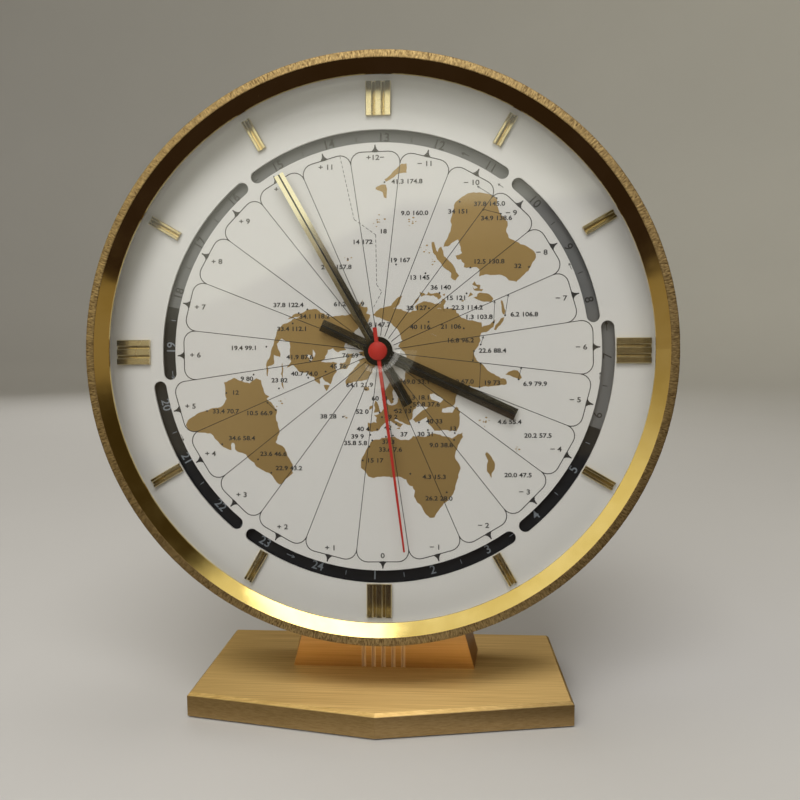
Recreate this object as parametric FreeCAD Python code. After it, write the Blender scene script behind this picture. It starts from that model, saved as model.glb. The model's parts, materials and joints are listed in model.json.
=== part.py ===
import FreeCAD, Part
import math
import os

# World time clock: a round brass case that leans back on a five-sided stand.
# Millimetres, +Z up, the dial looks towards -Y, origin under the middle of the stand.
# Inside the case, places are given on dial axes: across to the right, up the dial,
# and forward out of the dial, with zero at the middle of the dial's printed face.

# Stand
base_front_half_width = 83.6
base_back_half_width = 81.5
base_point_reach = 43.5
base_corner_reach = 28.5
base_back_reach = 43.5
base_thickness = 10.4
base_bevel = 1.4
felt_thickness = 0.8
felt_inset = 2.0
base_screw_radius = 2.0
base_screw_head_radius = 4.0
base_screw_head_height = 3.0
base_screw_grip = 9.0
base_screw_spread = 26.0

# Neck
neck_half_width = 42.3
neck_side_slope = 15.0
neck_front_set_back = 1.4
neck_depth = 22.0
neck_back_flare = 2.3
neck_reach = 22.6
saddle_depth = 15.4
flute_count = 5
flute_spacing = 4.6
flute_half_width = 0.7
flute_depth = 0.6
neck_screw_radius = 1.5
neck_screw_head_radius = 3.0
neck_screw_head_height = 1.8
neck_screw_grip = 8.0
neck_screw_spread = 15.0
screw_clearance = 0.1
head_clearance = 0.3

# Case
lean = 4.5
centre_set_forward = 7.5
case_radius = 125.0
case_wall = 1.6
case_front = 14.0
band_width = 3.7
crest_rise = 0.8
lip_thickness = 1.4
cone_width = 5.4
cone_drop = 2.8
cone_nose = 1.0
skirt_wall = 1.8
lug_reach = 10.0
lug_width = 12.0
lug_depth = 6.0

# Glass and what clamps it
glass_thickness = 2.0
glass_rise = 2.5
glass_clearance = 0.3
gasket_thickness = 1.0
gasket_width = 2.0
spacer_wall = 2.6
spacer_clearance = 0.2

# Dial and its windows
dial_thickness = 1.0
dial_hole_clearance = 0.7
window_width = 5.7
window_margin = 0.2
track_step = 5.4
window_bridge_angle = 0.9
window_break_angles = (-37.5, 37.5, 82.5, 142.5, 217.5, 262.5, 322.5)
window_tracks = ("inner", "inner", "outer", "outer", "outer", "inner")

# Applied hour markers
marker_set_in = 3.9
marker_length = 14.6
marker_height = 1.8
wide_marker_width = 11.0
slim_marker_width = 4.0
marker_groove_pitch = 4.1
marker_groove_half_width = 0.9
marker_groove_depth = 0.8
marker_edge_bevel = 0.3

# Ring that clamps the dial, and the plate that carries the movement
seat_width = 10.4
seat_thickness = 2.0
post_radius = 3.0
post_set_in = 6.4
carrier_margin = 0.2
carrier_thickness = 1.2
arm_half_width = 5.5
post_screw_radius = 1.25
post_screw_head_radius = 2.5
post_screw_head_height = 1.4
post_screw_grip = 4.0
pillar_radius = 4.0
pillar_step = 13.0

# Twenty-four hour ring
ring_gap = 2.0
ring_thickness = 0.8
ring_outer_overlap = 3.4
ring_inner_overlap = 4.8
ring_spoke_count = 5
ring_spoke_width = 9.0
ring_hub_radius = 14.0
ring_flange_radius = 9.0
ring_flange_thickness = 0.7
ring_pipe_wall = 1.4
running_clearance = 0.05
end_gap = 0.3
clip_thickness = 0.5
clip_width = 1.6
clip_gap = 0.25

# Wheels that turn the ring at half the speed of the hour hand
ring_module = 0.6
hour_pinion_teeth = 14
transfer_wheel_teeth = 21
transfer_pinion_teeth = 15
ring_wheel_teeth = 20
ring_wheel_thickness = 1.2
hour_pinion_thickness = 1.6
transfer_wheel_thickness = 1.2
transfer_arbor_radius = 0.8
transfer_angle = 180.0

# Bridge with the fixed bush
bridge_radius = 19.0
bridge_thickness = 0.7
bridge_post_radius = 1.8
bridge_post_circle = 15.8
bridge_post_angles = (0.0, 72.0, 288.0)
bush_wall = 1.2
bush_clearance = 0.1

# Motion work
motion_module = 0.4
cannon_teeth = 15
minute_wheel_teeth = 45
minute_pinion_teeth = 12
hour_wheel_teeth = 48
setting_pinion_teeth = 15
second_arbor_radius = 0.45
cannon_pipe_radius = 1.5
hour_pipe_radius = 2.5
hour_wheel_thickness = 1.0
wheel_gap = 1.2
cannon_length = 1.8
minute_wheel_thickness = 1.0
minute_wheel_angle = 270.0
minute_post_radius = 0.8
setting_step_teeth = 20
setting_shaft_radius = 1.0

# Tooth form, as shares of the module, the pitch and the tooth
addendum_share = 0.8
dedendum_share = 1.15
tooth_width_share = 0.42
tip_width_share = 0.45

# Hands, as they stand in the photograph
hour_hand_angle = 114.9
minute_hand_angle = 330.6
second_hand_angle = 172.6
hand_thickness = 0.8
hand_ridge = 0.12
hour_hand_length = 65.3
hour_hand_tail = 27.3
hour_hand_width = 5.3
hour_hub_radius = 6.3
minute_hand_length = 87.7
minute_hand_tail = 26.7
minute_hand_width = 4.3
minute_hub_radius = 5.4
second_hand_length = 87.5
second_hand_tail = 10.2
second_hand_root_width = 1.6
second_hand_tip_width = 0.8
second_hand_thickness = 0.4
second_hub_radius = 3.2
hand_slot_half_width = 0.35
hand_slot_depth = 0.35
hour_hand_lift = 2.4
hand_gap = 0.7
cap_radius = 4.0
cap_rim_height = 0.5
cap_dome_height = 1.3

# Movement
train_plate_thickness = 1.0
train_pillar_radius = 2.0
train_pillar_inset = 3.2
second_wheel_teeth = 60
second_wheel_module = 0.25
second_wheel_thickness = 0.5
second_wheel_drop = 1.6
wheel_level_gap = 0.5
step_wheel_teeth = 40
step_pinion_teeth = 10
step_wheel_thickness = 0.5
step_wheel_angle = 30.0
step_arbor_radius = 0.4
rotor_pinion_teeth = 8
rotor_angle = 120.0
rotor_arbor_radius = 0.3
rotor_radius = 2.5
rotor_gap = 0.5
train_bridge_thickness = 1.0
train_bridge_half_width = 2.2
train_bridge_post_radius = 1.5
train_bridge_post_places = ((-9.6, -3.5), (15.5, 0.0))
housing_side_wall = 4.2
housing_top = 30.0
housing_wall = 1.5
housing_screw_inset = 2.6
housing_boss_radius = 2.4
boss_gap = 1.0
housing_screw_radius = 1.0
housing_screw_head_radius = 2.0
housing_screw_head_height = 1.2
housing_screw_grip = 6.0
stator_thickness = 1.4
stator_half_width = 22.0
stator_bar_width = 5.0
stator_rib = 0.65
coil_radius = 5.0
coil_half_length = 12.0
flange_thickness = 1.2
flange_radius = 5.6
core_clearance = 0.1
coil_gap = 0.5
coil_plate_gap = 0.4
board_thickness = 1.2
board_edge_gap = 3.5
board_standoff = 8.0
board_boss_radius = 2.5
crystal_radius = 1.5
crystal_length = 8.0
chip_width = 12.0
chip_height = 8.0
chip_thickness = 2.0

# Battery, its contacts and its hatch
battery_radius = 13.0
battery_length = 48.4
battery_nub_radius = 3.0
battery_nub_length = 1.6
bay_front_wall = 2.4
bay_clearance = 1.0
contact_thickness = 0.5
contact_half_width = 6.0
contact_turns = 4
hatch_clearance = 0.3
hatch_edge = 1.0
hinge_pin_radius = 0.6
hinge_barrel_radius = 1.3
hinge_half_length = 16.0
hinge_lug_length = 3.0
hinge_lift = 0.2
catch_width = 10.0
catch_height = 1.5

# Back cover and setting knob
cover_thickness = 1.2
cover_screw_radius = 1.5
cover_screw_head_radius = 3.0
cover_screw_head_height = 1.6
cover_screw_grip = 5.0
knob_radius = 7.5
knob_height = 6.0
knob_gap = 0.8
knob_hatch_gap = 1.2
knob_flutes = 18
knob_flute_radius = 0.6
knob_bevel = 0.6

overrun = 1.0

V = FreeCAD.Vector
FRONT = V(0, 0, 1)
base_top = felt_thickness + base_thickness
centre_height = base_top + neck_reach + case_radius
STAND_PLACE = FreeCAD.Placement(V(0, -centre_set_forward, centre_height),
                                FreeCAD.Rotation(V(1, 0, 0), 90.0 - lean))

# Places along the forward axis, worked out from the sizes above
dial_back = -dial_thickness
ring_front = dial_back - ring_gap
ring_back = ring_front - ring_thickness
flange_back = ring_back - ring_flange_thickness
ring_wheel_front = flange_back - end_gap
ring_wheel_back = ring_wheel_front - ring_wheel_thickness
bridge_front = ring_wheel_back - end_gap
bridge_back = bridge_front - bridge_thickness
hour_pinion_front = bridge_back - end_gap
hour_pinion_back = hour_pinion_front - hour_pinion_thickness
carrier_front = hour_pinion_back - end_gap
carrier_back = carrier_front - carrier_thickness
hour_wheel_front = carrier_back - end_gap
hour_wheel_back = hour_wheel_front - hour_wheel_thickness
cannon_front = hour_wheel_back - wheel_gap
cannon_back = cannon_front - cannon_length
minute_wheel_back = cannon_back + end_gap
minute_wheel_front = minute_wheel_back + minute_wheel_thickness
train_front = cannon_back - end_gap
train_back = train_front - train_plate_thickness
second_wheel_front = train_back - second_wheel_drop
second_wheel_back = second_wheel_front - second_wheel_thickness
stator_front = train_back - coil_gap - flange_radius + stator_thickness / 2
stator_back = stator_front - stator_thickness
step_wheel_front = second_wheel_back - wheel_level_gap
step_wheel_back = step_wheel_front - step_wheel_thickness
train_bridge_front = stator_back - end_gap
train_bridge_back = train_bridge_front - train_bridge_thickness
seat_back = dial_back - seat_thickness
bay_front = carrier_back - bay_front_wall
cover_inner = bay_front - 2 * (battery_radius + bay_clearance)
cover_outer = cover_inner - cover_thickness
housing_inner = cover_inner + housing_wall
board_back = housing_inner + board_standoff
board_front = board_back + board_thickness
crest_front = case_front + crest_rise
cone_inner_front = crest_front - cone_drop
glass_front = cone_inner_front - cone_nose
glass_back = glass_front - glass_thickness
spacer_front = glass_back - gasket_thickness
hour_hand_back = hour_hand_lift
hour_hand_front = hour_hand_back + hand_thickness
minute_hand_back = hour_hand_front + hand_ridge + hand_gap
minute_hand_front = minute_hand_back + hand_thickness
second_hand_back = minute_hand_front + hand_ridge + hand_gap
second_hand_front = second_hand_back + second_hand_thickness

# Radii and centres worked out from the sizes above
crest_radius = case_radius - band_width
cone_inner_radius = crest_radius - cone_width
case_bore = case_radius - case_wall
skirt_bore = case_bore - skirt_wall
glass_radius = skirt_bore - glass_clearance
spacer_outer = case_bore - spacer_clearance
spacer_inner = spacer_outer - spacer_wall
marker_outer_radius = spacer_inner - marker_set_in
marker_inner_radius = marker_outer_radius - marker_length
outer_track_radius = marker_inner_radius - window_margin - window_width
track_radii = {"inner": outer_track_radius - track_step, "outer": outer_track_radius}
ring_outer_radius = outer_track_radius + window_width + ring_outer_overlap
ring_inner_radius = track_radii["inner"] - ring_inner_overlap
post_circle = case_bore - post_set_in
pillar_circle = post_circle - pillar_step
dial_hole_radius = hour_pipe_radius + dial_hole_clearance
hour_pipe_bore = cannon_pipe_radius + running_clearance
cannon_bore = second_arbor_radius + running_clearance
bush_bore = hour_pipe_radius + bush_clearance
bush_radius = bush_bore + bush_wall
ring_bore = bush_radius + running_clearance
ring_pipe_radius = ring_bore + ring_pipe_wall
transfer_distance = ring_module * (hour_pinion_teeth + transfer_wheel_teeth) / 2
motion_distance = motion_module * (cannon_teeth + minute_wheel_teeth) / 2
setting_distance = motion_module * (minute_wheel_teeth + setting_pinion_teeth) / 2
step_distance = second_wheel_module * (second_wheel_teeth + step_pinion_teeth) / 2
rotor_distance = second_wheel_module * (step_wheel_teeth + rotor_pinion_teeth) / 2
bay_half_width = battery_length / 2 + battery_nub_length + contact_half_width / 2
quarter_angles = (45.0, 135.0, 225.0, 315.0)
cross_angles = (0.0, 90.0, 180.0, 270.0)


def at(radius, angle, centre=(0.0, 0.0)):
    """Place on the dial, the angle counted from three o'clock towards twelve."""
    turn = math.radians(angle)
    return (centre[0] + radius * math.cos(turn), centre[1] + radius * math.sin(turn))


transfer_centre = at(transfer_distance, transfer_angle)
minute_centre = at(motion_distance, minute_wheel_angle)
setting_angle = minute_wheel_angle + 180.0 + setting_step_teeth * 360.0 / minute_wheel_teeth
setting_centre = at(setting_distance, setting_angle, minute_centre)
step_centre = at(step_distance, step_wheel_angle)
rotor_centre = at(rotor_distance, rotor_angle, step_centre)
stator_plate_half_height = rotor_radius + rotor_gap + stator_rib
coil_height = rotor_centre[1] + stator_plate_half_height + coil_plate_gap + flange_radius

# The battery bay starts below the setting knob, and the chamber above it fits the board
hatch_top = setting_centre[1] - knob_radius - knob_hatch_gap
battery_centre_drop = battery_radius + bay_clearance - hatch_top
hatch_bottom = -battery_centre_drop - battery_radius - bay_clearance
housing_bottom = housing_wall - hatch_bottom
housing_half_width = bay_half_width + housing_side_wall
chamber_bottom = hatch_top + housing_wall
board_top = housing_top - housing_wall - board_edge_gap
board_bottom = -chamber_bottom - board_edge_gap
carrier_radius = math.hypot(housing_half_width, housing_bottom) + carrier_margin
housing_screw_across = housing_half_width - housing_screw_inset
train_plate_half_width = housing_screw_across - housing_boss_radius - boss_gap
board_half_width = train_plate_half_width


def rod(radius, back, front, centre=(0.0, 0.0)):
    return Part.makeCylinder(radius, front - back, V(centre[0], centre[1], back), FRONT)


def tube(outer, inner, back, front, centre=(0.0, 0.0)):
    bore = rod(inner, back - overrun, front + overrun, centre)
    return rod(outer, back, front, centre).cut(bore)


def block(left, right, low, high, back, front):
    return Part.makeBox(right - left, high - low, front - back, V(left, low, back))


def turned(profile):
    """Solid of revolution about the dial's axis from (radius, forward) points."""
    points = [V(radius, 0, forward) for radius, forward in profile]
    face = Part.Face(Part.makePolygon(points + points[:1]))
    return face.revolve(V(0, 0, 0), FRONT, 360)


def flat(outline, back, front):
    """Plate with a straight-sided outline given as (across, up) points."""
    points = [V(across, up, back) for across, up in outline]
    face = Part.Face(Part.makePolygon(points + points[:1]))
    return face.extrude(V(0, 0, front - back))


def joined(shapes):
    whole = shapes[0]
    for shape in shapes[1:]:
        whole = whole.fuse(shape)
    return whole.removeSplitter()


def without(shape, cutters):
    for cutter in cutters:
        shape = shape.cut(cutter)
    return shape


def turned_by(shape, angle):
    """Copy turned about the dial's axis, clockwise from the front."""
    copy = shape.copy()
    copy.rotate(V(0, 0, 0), FRONT, -angle)
    return copy


def gear(teeth, module, back, front, bore, centre=(0.0, 0.0), facing=0.0, gap_faces=False):
    """Clock wheel with radial flanks and pointed tips; a tooth or a gap faces one way."""
    pitch_radius = teeth * module / 2
    root_radius = pitch_radius - dedendum_share * module
    tip_radius = pitch_radius + addendum_share * module
    step = 360.0 / teeth
    half = tooth_width_share * step / 2
    rise = (
        (root_radius, half),
        (pitch_radius, half),
        (tip_radius, half * tip_width_share),
    )
    first = facing + (step / 2 if gap_faces else 0)
    outline = []
    for tooth in range(teeth):
        middle = first + tooth * step
        outline += [at(radius, middle - aside, centre) for radius, aside in rise]
        outline += [at(radius, middle + aside, centre) for radius, aside in reversed(rise)]
    return flat(outline, back, front).cut(rod(bore, back - overrun, front + overrun, centre))


def onto_stand(shape):
    """Lean the case back and lift it over the stand."""
    copy = shape.copy()
    copy.Placement = STAND_PLACE.multiply(copy.Placement)
    return copy


def save(name, shapes, in_case=True):
    placed = [onto_stand(shape) if in_case else shape for shape in shapes]
    solids = [solid for shape in placed for solid in shape.Solids]
    whole = solids[0] if len(solids) == 1 else Part.makeCompound(solids)
    whole.exportStep(os.path.join("parts", name + ".step"))
    print(name, len(solids), "solids", round(whole.Volume, 1), whole.isValid())


# Stand

def base_outline(inset=0.0):
    """Five corners of the stand, drawn in by an inset measured square to each side."""
    corners = [
        (-base_front_half_width, -base_corner_reach),
        (0.0, -base_point_reach),
        (base_front_half_width, -base_corner_reach),
        (base_back_half_width, base_back_reach),
        (-base_back_half_width, base_back_reach),
    ]
    wire = Part.makePolygon([V(x, y, 0) for x, y in corners + corners[:1]])
    return wire.makeOffset2D(-inset, 2) if inset else wire


def base_solid():
    low = Part.Face(base_outline()).extrude(V(0, 0, base_thickness - base_bevel))
    low.translate(V(0, 0, felt_thickness))
    bevel_foot = base_outline()
    bevel_foot.translate(V(0, 0, base_top - base_bevel))
    bevel_head = base_outline(base_bevel)
    bevel_head.translate(V(0, 0, base_top))
    return low.fuse(Part.makeLoft([bevel_foot, bevel_head], True, True)).removeSplitter()


neck_middle = neck_front_set_back + neck_depth / 2
base_screw_places = [V(side * base_screw_spread, neck_middle, 0) for side in (-1, 1)]


def base_screw(place, spare=0.0):
    """Screw pushed up from under the stand into the neck."""
    head_foot = felt_thickness
    head = Part.makeCylinder(base_screw_head_radius + spare, base_screw_head_height)
    head.translate(place + V(0, 0, head_foot))
    shank_length = base_thickness - base_screw_head_height + base_screw_grip
    shank = Part.makeCylinder(base_screw_radius, shank_length)
    shank.translate(place + V(0, 0, head_foot + base_screw_head_height))
    return head.fuse(shank)


def base_screw_passage(place):
    wide = Part.makeCylinder(base_screw_head_radius + head_clearance, base_screw_head_height)
    wide.translate(place + V(0, 0, felt_thickness))
    narrow = Part.makeCylinder(base_screw_radius + screw_clearance, base_thickness + overrun)
    narrow.translate(place + V(0, 0, felt_thickness))
    return wide.fuse(narrow)


base_plate = without(base_solid(), [base_screw_passage(place) for place in base_screw_places])
base_screws = [base_screw(place) for place in base_screw_places]
base_felt = Part.Face(base_outline(felt_inset)).extrude(V(0, 0, felt_thickness))


# Neck: a tapered block that carries the case in a saddle

def neck_level(height, rise):
    """Four corners of the neck at a height above the stand."""
    front = neck_half_width - rise
    back = front + neck_back_flare
    near = neck_front_set_back
    far = neck_front_set_back + neck_depth
    corners = [(-front, near), (front, near), (back, far), (-back, far)]
    return Part.makePolygon([V(x, y, base_top + height) for x, y in corners + corners[:1]])


def neck_flute(across):
    """Engraved groove that runs up the front of the neck."""
    near = neck_front_set_back
    points = [
        V(across - flute_half_width, near, base_top),
        V(across, near + flute_depth, base_top),
        V(across + flute_half_width, near, base_top),
    ]
    return Part.Face(Part.makePolygon(points + points[:1])).extrude(V(0, 0, neck_height))


case_foot_lean = case_radius * math.sin(math.radians(lean))
neck_screw_forward = -(neck_middle + centre_set_forward + case_foot_lean)


def radial_places(spread):
    """Turns about the case axis that put a screw a given distance each side of the foot."""
    return [math.degrees(math.asin(side * spread / case_radius)) for side in (-1, 1)]


def radial_rod(radius, inner, outer, forward, turn):
    """Rod that points out of the case at its foot, turned about the case axis."""
    shape = Part.makeCylinder(radius, outer - inner, V(0, -inner, forward), V(0, -1, 0))
    shape.rotate(V(0, 0, 0), FRONT, turn)
    return shape


def head_seat(head_radius):
    """Distance from the case axis at which a flat head meets the round wall."""
    return math.sqrt(case_bore ** 2 - head_radius ** 2)


def neck_screw(turn):
    seat = head_seat(neck_screw_head_radius)
    head = radial_rod(neck_screw_head_radius, seat - neck_screw_head_height, seat,
                      neck_screw_forward, turn)
    shank = radial_rod(neck_screw_radius, seat, case_radius + neck_screw_grip,
                       neck_screw_forward, turn)
    return head.fuse(shank)


neck_turns = radial_places(neck_screw_spread)
neck_screws = [neck_screw(turn) for turn in neck_turns]
neck_height = neck_reach + saddle_depth
neck_rise = neck_height * math.tan(math.radians(neck_side_slope))
neck_block = Part.makeLoft([neck_level(0.0, 0.0), neck_level(neck_height, neck_rise)], True, True)
flute_first = -flute_spacing * (flute_count - 1) / 2
flutes = [neck_flute(flute_first + number * flute_spacing) for number in range(flute_count)]
case_volume = onto_stand(rod(case_radius, cover_outer - case_radius, case_front + case_radius))
neck_screw_holes = [
    onto_stand(radial_rod(neck_screw_radius, case_bore, case_radius + neck_screw_grip,
                          neck_screw_forward, turn)) for turn in neck_turns]
base_screw_holes = [
    Part.makeCylinder(base_screw_radius, base_screw_grip, place + V(0, 0, base_top))
    for place in base_screw_places]
neck = without(neck_block, flutes + [case_volume] + neck_screw_holes + base_screw_holes)


# Case drum with its turned-in front lip and four inner lugs

drum_profile = [
    (case_radius, cover_outer),
    (case_radius, case_front),
    (crest_radius, crest_front),
    (crest_radius, crest_front - lip_thickness),
    (case_bore, case_front - lip_thickness),
    (case_bore, cover_outer),
]


def cover_screw_hole(radius, place, depth):
    return rod(radius, cover_outer - overrun, cover_inner + depth, place)


lug_circle = case_bore - lug_reach / 2
lug_places = [at(lug_circle, angle) for angle in cross_angles]


def case_lug(angle):
    """Block on the drum's inner wall that takes a cover screw."""
    lug = block(case_bore - lug_reach, case_radius, -lug_width / 2, lug_width / 2,
                cover_inner, cover_inner + lug_depth)
    lug = lug.common(rod(case_bore + case_wall / 2, cover_inner, cover_inner + lug_depth))
    return turned_by(lug, angle)


case_drum = joined([turned(drum_profile)] + [case_lug(angle) for angle in cross_angles])
case_drum = without(case_drum, [
    cover_screw_hole(cover_screw_radius, place, cover_screw_grip) for place in lug_places])
case_drum = without(case_drum, [
    radial_rod(neck_screw_radius + screw_clearance, case_bore - case_wall, case_radius + case_wall,
               neck_screw_forward, turn) for turn in neck_turns])

# Polished ring pushed in behind the lip; its cone slopes in to the glass
bezel_ring = turned([
    (crest_radius, crest_front),
    (cone_inner_radius, cone_inner_front),
    (cone_inner_radius, glass_front),
    (skirt_bore, glass_front),
    (skirt_bore, spacer_front),
    (case_bore, spacer_front),
    (case_bore, case_front - lip_thickness),
    (crest_radius, crest_front - lip_thickness),
])


def domed_disc(radius, rim_radius, back, front, rise):
    """Lens with a flat rim and a shallow dome on both faces."""
    rim = V(rim_radius, 0, front)
    top = V(0, 0, front + rise)
    half_angle = math.atan(rise / rim_radius)
    dome = rim_radius / math.sin(2 * half_angle)
    bend = V(dome * math.sin(half_angle), 0, front + rise - dome * (1 - math.cos(half_angle)))
    drop = V(0, 0, back - front)
    edges = [
        Part.makeLine(V(0, 0, back + rise), top),
        Part.Arc(top, bend, rim).toShape(),
        Part.makeLine(rim, V(radius, 0, front)),
        Part.makeLine(V(radius, 0, front), V(radius, 0, back)),
        Part.makeLine(V(radius, 0, back), rim + drop),
        Part.Arc(rim + drop, bend + drop, top + drop).toShape(),
    ]
    return Part.Face(Part.Wire(edges)).revolve(V(0, 0, 0), FRONT, 360)


glass_lens = domed_disc(glass_radius, cone_inner_radius, glass_back, glass_front, glass_rise)
gasket = tube(glass_radius, glass_radius - gasket_width, spacer_front, glass_back)
spacer_ring = tube(spacer_outer, spacer_inner, 0.0, spacer_front)
seat_ring = tube(case_bore, case_bore - seat_width, seat_back, dial_back)


# Dial with six curved windows on two tracks

window_count = len(window_tracks)


def window(number):
    """Curved slot with round ends between two zone breaks."""
    inner = track_radii[window_tracks[number]]
    radius = window_width / 2
    middle = inner + radius
    end_angle = math.degrees(radius / middle)
    trims = []
    for edge in (number, number + 1):
        same_track = window_tracks[edge - 1] == window_tracks[edge % window_count]
        trims.append(end_angle + (window_bridge_angle if same_track else 0.0))
    start = window_break_angles[number] + trims[0]
    stop = window_break_angles[number + 1] - trims[1]
    corners = [V(0, inner, dial_back - overrun), V(0, inner + window_width, dial_back - overrun)]
    corners += [V(0, inner + window_width, overrun), V(0, inner, overrun)]
    face = Part.Face(Part.makePolygon(corners + corners[:1]))
    face.rotate(V(0, 0, 0), FRONT, -start)
    slot = face.revolve(V(0, 0, 0), FRONT, start - stop)
    for angle in (start, stop):
        slot = slot.fuse(rod(radius, dial_back - overrun, overrun, at(middle, 90.0 - angle)))
    return slot


dial_plate = rod(spacer_outer, dial_back, 0.0)
dial_plate = without(dial_plate, [window(number) for number in range(window_count)])
dial_plate = dial_plate.cut(rod(dial_hole_radius, dial_back - overrun, overrun))


# Polished hour markers, grooved along their length

def marker(width, groove_places):
    """Bar that points to the middle, with V grooves between its flats."""
    half = width / 2
    shoulder = marker_height - marker_edge_bevel
    section = [(-half, 0.0), (-half, shoulder), (-half + marker_edge_bevel, marker_height)]
    for place in groove_places:
        section += [
            (place - marker_groove_half_width, marker_height),
            (place, marker_height - marker_groove_depth),
            (place + marker_groove_half_width, marker_height),
        ]
    section += [(half - marker_edge_bevel, marker_height), (half, shoulder), (half, 0.0)]
    points = [V(across, marker_inner_radius, forward) for across, forward in section]
    face = Part.Face(Part.makePolygon(points + points[:1]))
    return face.extrude(V(0, marker_outer_radius - marker_inner_radius, 0))


wide_bar = marker(wide_marker_width, (-marker_groove_pitch / 2, marker_groove_pitch / 2))
slim_bar = marker(slim_marker_width, (0.0,))
hour_step = 360.0 / 12
wide_markers = [turned_by(wide_bar, hour * hour_step) for hour in range(12) if hour % 3 == 0]
slim_markers = [turned_by(slim_bar, hour * hour_step) for hour in range(12) if hour % 3]


# Carrier plate on four posts behind the seat ring

post_places = [at(post_circle, angle) for angle in quarter_angles]
pillar_places = [at(pillar_circle, angle) for angle in quarter_angles]
bridge_post_places = [at(bridge_post_circle, angle) for angle in bridge_post_angles]
housing_screw_places = [
    (side * housing_screw_across, up) for side in (-1, 1)
    for up in (housing_top - housing_screw_inset, -housing_bottom + housing_screw_inset)]


def carrier_arm(angle):
    arm = block(0.0, post_circle, -arm_half_width, arm_half_width, carrier_back, carrier_front)
    tip = rod(arm_half_width, carrier_back, carrier_front, (post_circle, 0.0))
    return turned_by(arm.fuse(tip), angle)


def through(radius, back, front, places):
    return [rod(radius, back - overrun, front + overrun, place) for place in places]


carrier_plate = joined([rod(carrier_radius, carrier_back, carrier_front)]
                       + [carrier_arm(angle) for angle in quarter_angles])
carrier_plate = without(carrier_plate, through(
    hour_pipe_radius + bush_clearance, carrier_back, carrier_front, [(0.0, 0.0)]))
carrier_plate = without(carrier_plate, through(
    post_screw_radius + screw_clearance, carrier_back, carrier_front, post_places))
carrier_plate = without(carrier_plate, through(
    housing_screw_radius + screw_clearance, carrier_back, carrier_front, housing_screw_places))
carrier_plate = without(carrier_plate, through(
    minute_post_radius, carrier_back, carrier_front, [minute_centre]))
carrier_plate = without(carrier_plate, through(
    setting_shaft_radius + running_clearance, carrier_back, carrier_front, [setting_centre]))
carrier_plate = without(carrier_plate, through(
    transfer_arbor_radius + running_clearance, carrier_back, carrier_front, [transfer_centre]))


def back_screw(radius, head_radius, head_height, head_front, grip, place):
    """Screw driven in from behind, its head lying behind the given level."""
    head = rod(head_radius, head_front - head_height, head_front, place)
    return head.fuse(rod(radius, head_front, head_front + grip, place))


post_screw_length = carrier_thickness + post_screw_grip
post_screws = [back_screw(post_screw_radius, post_screw_head_radius, post_screw_head_height,
                          carrier_back, post_screw_length, place) for place in post_places]
carrier_posts = [
    rod(post_radius, carrier_front, seat_back, place).cut(
        rod(post_screw_radius, carrier_front - overrun, carrier_front + post_screw_grip, place))
    for place in post_places]
stack_pillars = [
    rod(pillar_radius, cover_inner, carrier_back, place).cut(
        rod(cover_screw_radius, cover_inner - overrun, cover_inner + cover_screw_grip, place))
    for place in pillar_places]


# Bridge in front of the carrier; its bush is the bearing of the ring

ring_bridge = joined([
    rod(bridge_radius, bridge_back, bridge_front),
    rod(bush_radius, bridge_back, ring_front + clip_gap + clip_thickness)])
ring_bridge = without(ring_bridge, through(bush_bore, bridge_back, 0.0, [(0.0, 0.0)]))
ring_bridge = without(ring_bridge, through(
    transfer_arbor_radius + running_clearance, bridge_back, bridge_front, [transfer_centre]))
bridge_posts = [rod(bridge_post_radius, carrier_front, bridge_back, place)
                for place in bridge_post_places]
ring_clip = tube(bush_radius + clip_width, bush_radius, ring_front + clip_gap,
                 ring_front + clip_gap + clip_thickness)


# Twenty-four hour ring on its wheel

def ring_spoke(number):
    spoke = block(0.0, ring_inner_radius + overrun, -ring_spoke_width / 2, ring_spoke_width / 2,
                  ring_back, ring_front)
    return turned_by(spoke, number * 360.0 / ring_spoke_count)


hour_ring = joined(
    [tube(ring_outer_radius, ring_inner_radius, ring_back, ring_front),
     rod(ring_hub_radius, ring_back, ring_front)]
    + [ring_spoke(number) for number in range(ring_spoke_count)])
hour_ring = without(hour_ring, through(ring_pipe_radius, ring_back, ring_front, [(0.0, 0.0)]))
ring_wheel = joined([
    gear(ring_wheel_teeth, ring_module, ring_wheel_back, ring_wheel_front, ring_bore,
         facing=transfer_angle, gap_faces=True),
    tube(ring_pipe_radius, ring_bore, ring_wheel_back, ring_front),
    tube(ring_flange_radius, ring_bore, flange_back, ring_back)])

# Transfer wheels between the hour pipe and the ring
transfer_wheel_front = hour_pinion_front - (hour_pinion_thickness - transfer_wheel_thickness) / 2
transfer_wheel_back = transfer_wheel_front - transfer_wheel_thickness
transfer_wheel = gear(transfer_wheel_teeth, ring_module, transfer_wheel_back,
                      transfer_wheel_front, transfer_arbor_radius, transfer_centre,
                      transfer_angle + 180.0, True)
transfer_pinion = gear(transfer_pinion_teeth, ring_module, ring_wheel_back, ring_wheel_front,
                       transfer_arbor_radius, transfer_centre, transfer_angle + 180.0)
transfer_arbor = rod(transfer_arbor_radius, carrier_back, ring_wheel_front, transfer_centre)
hour_pinion = gear(hour_pinion_teeth, ring_module, hour_pinion_back, hour_pinion_front,
                   hour_pipe_radius, facing=transfer_angle)


# Motion work: cannon, minute wheel and hour wheel

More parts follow.
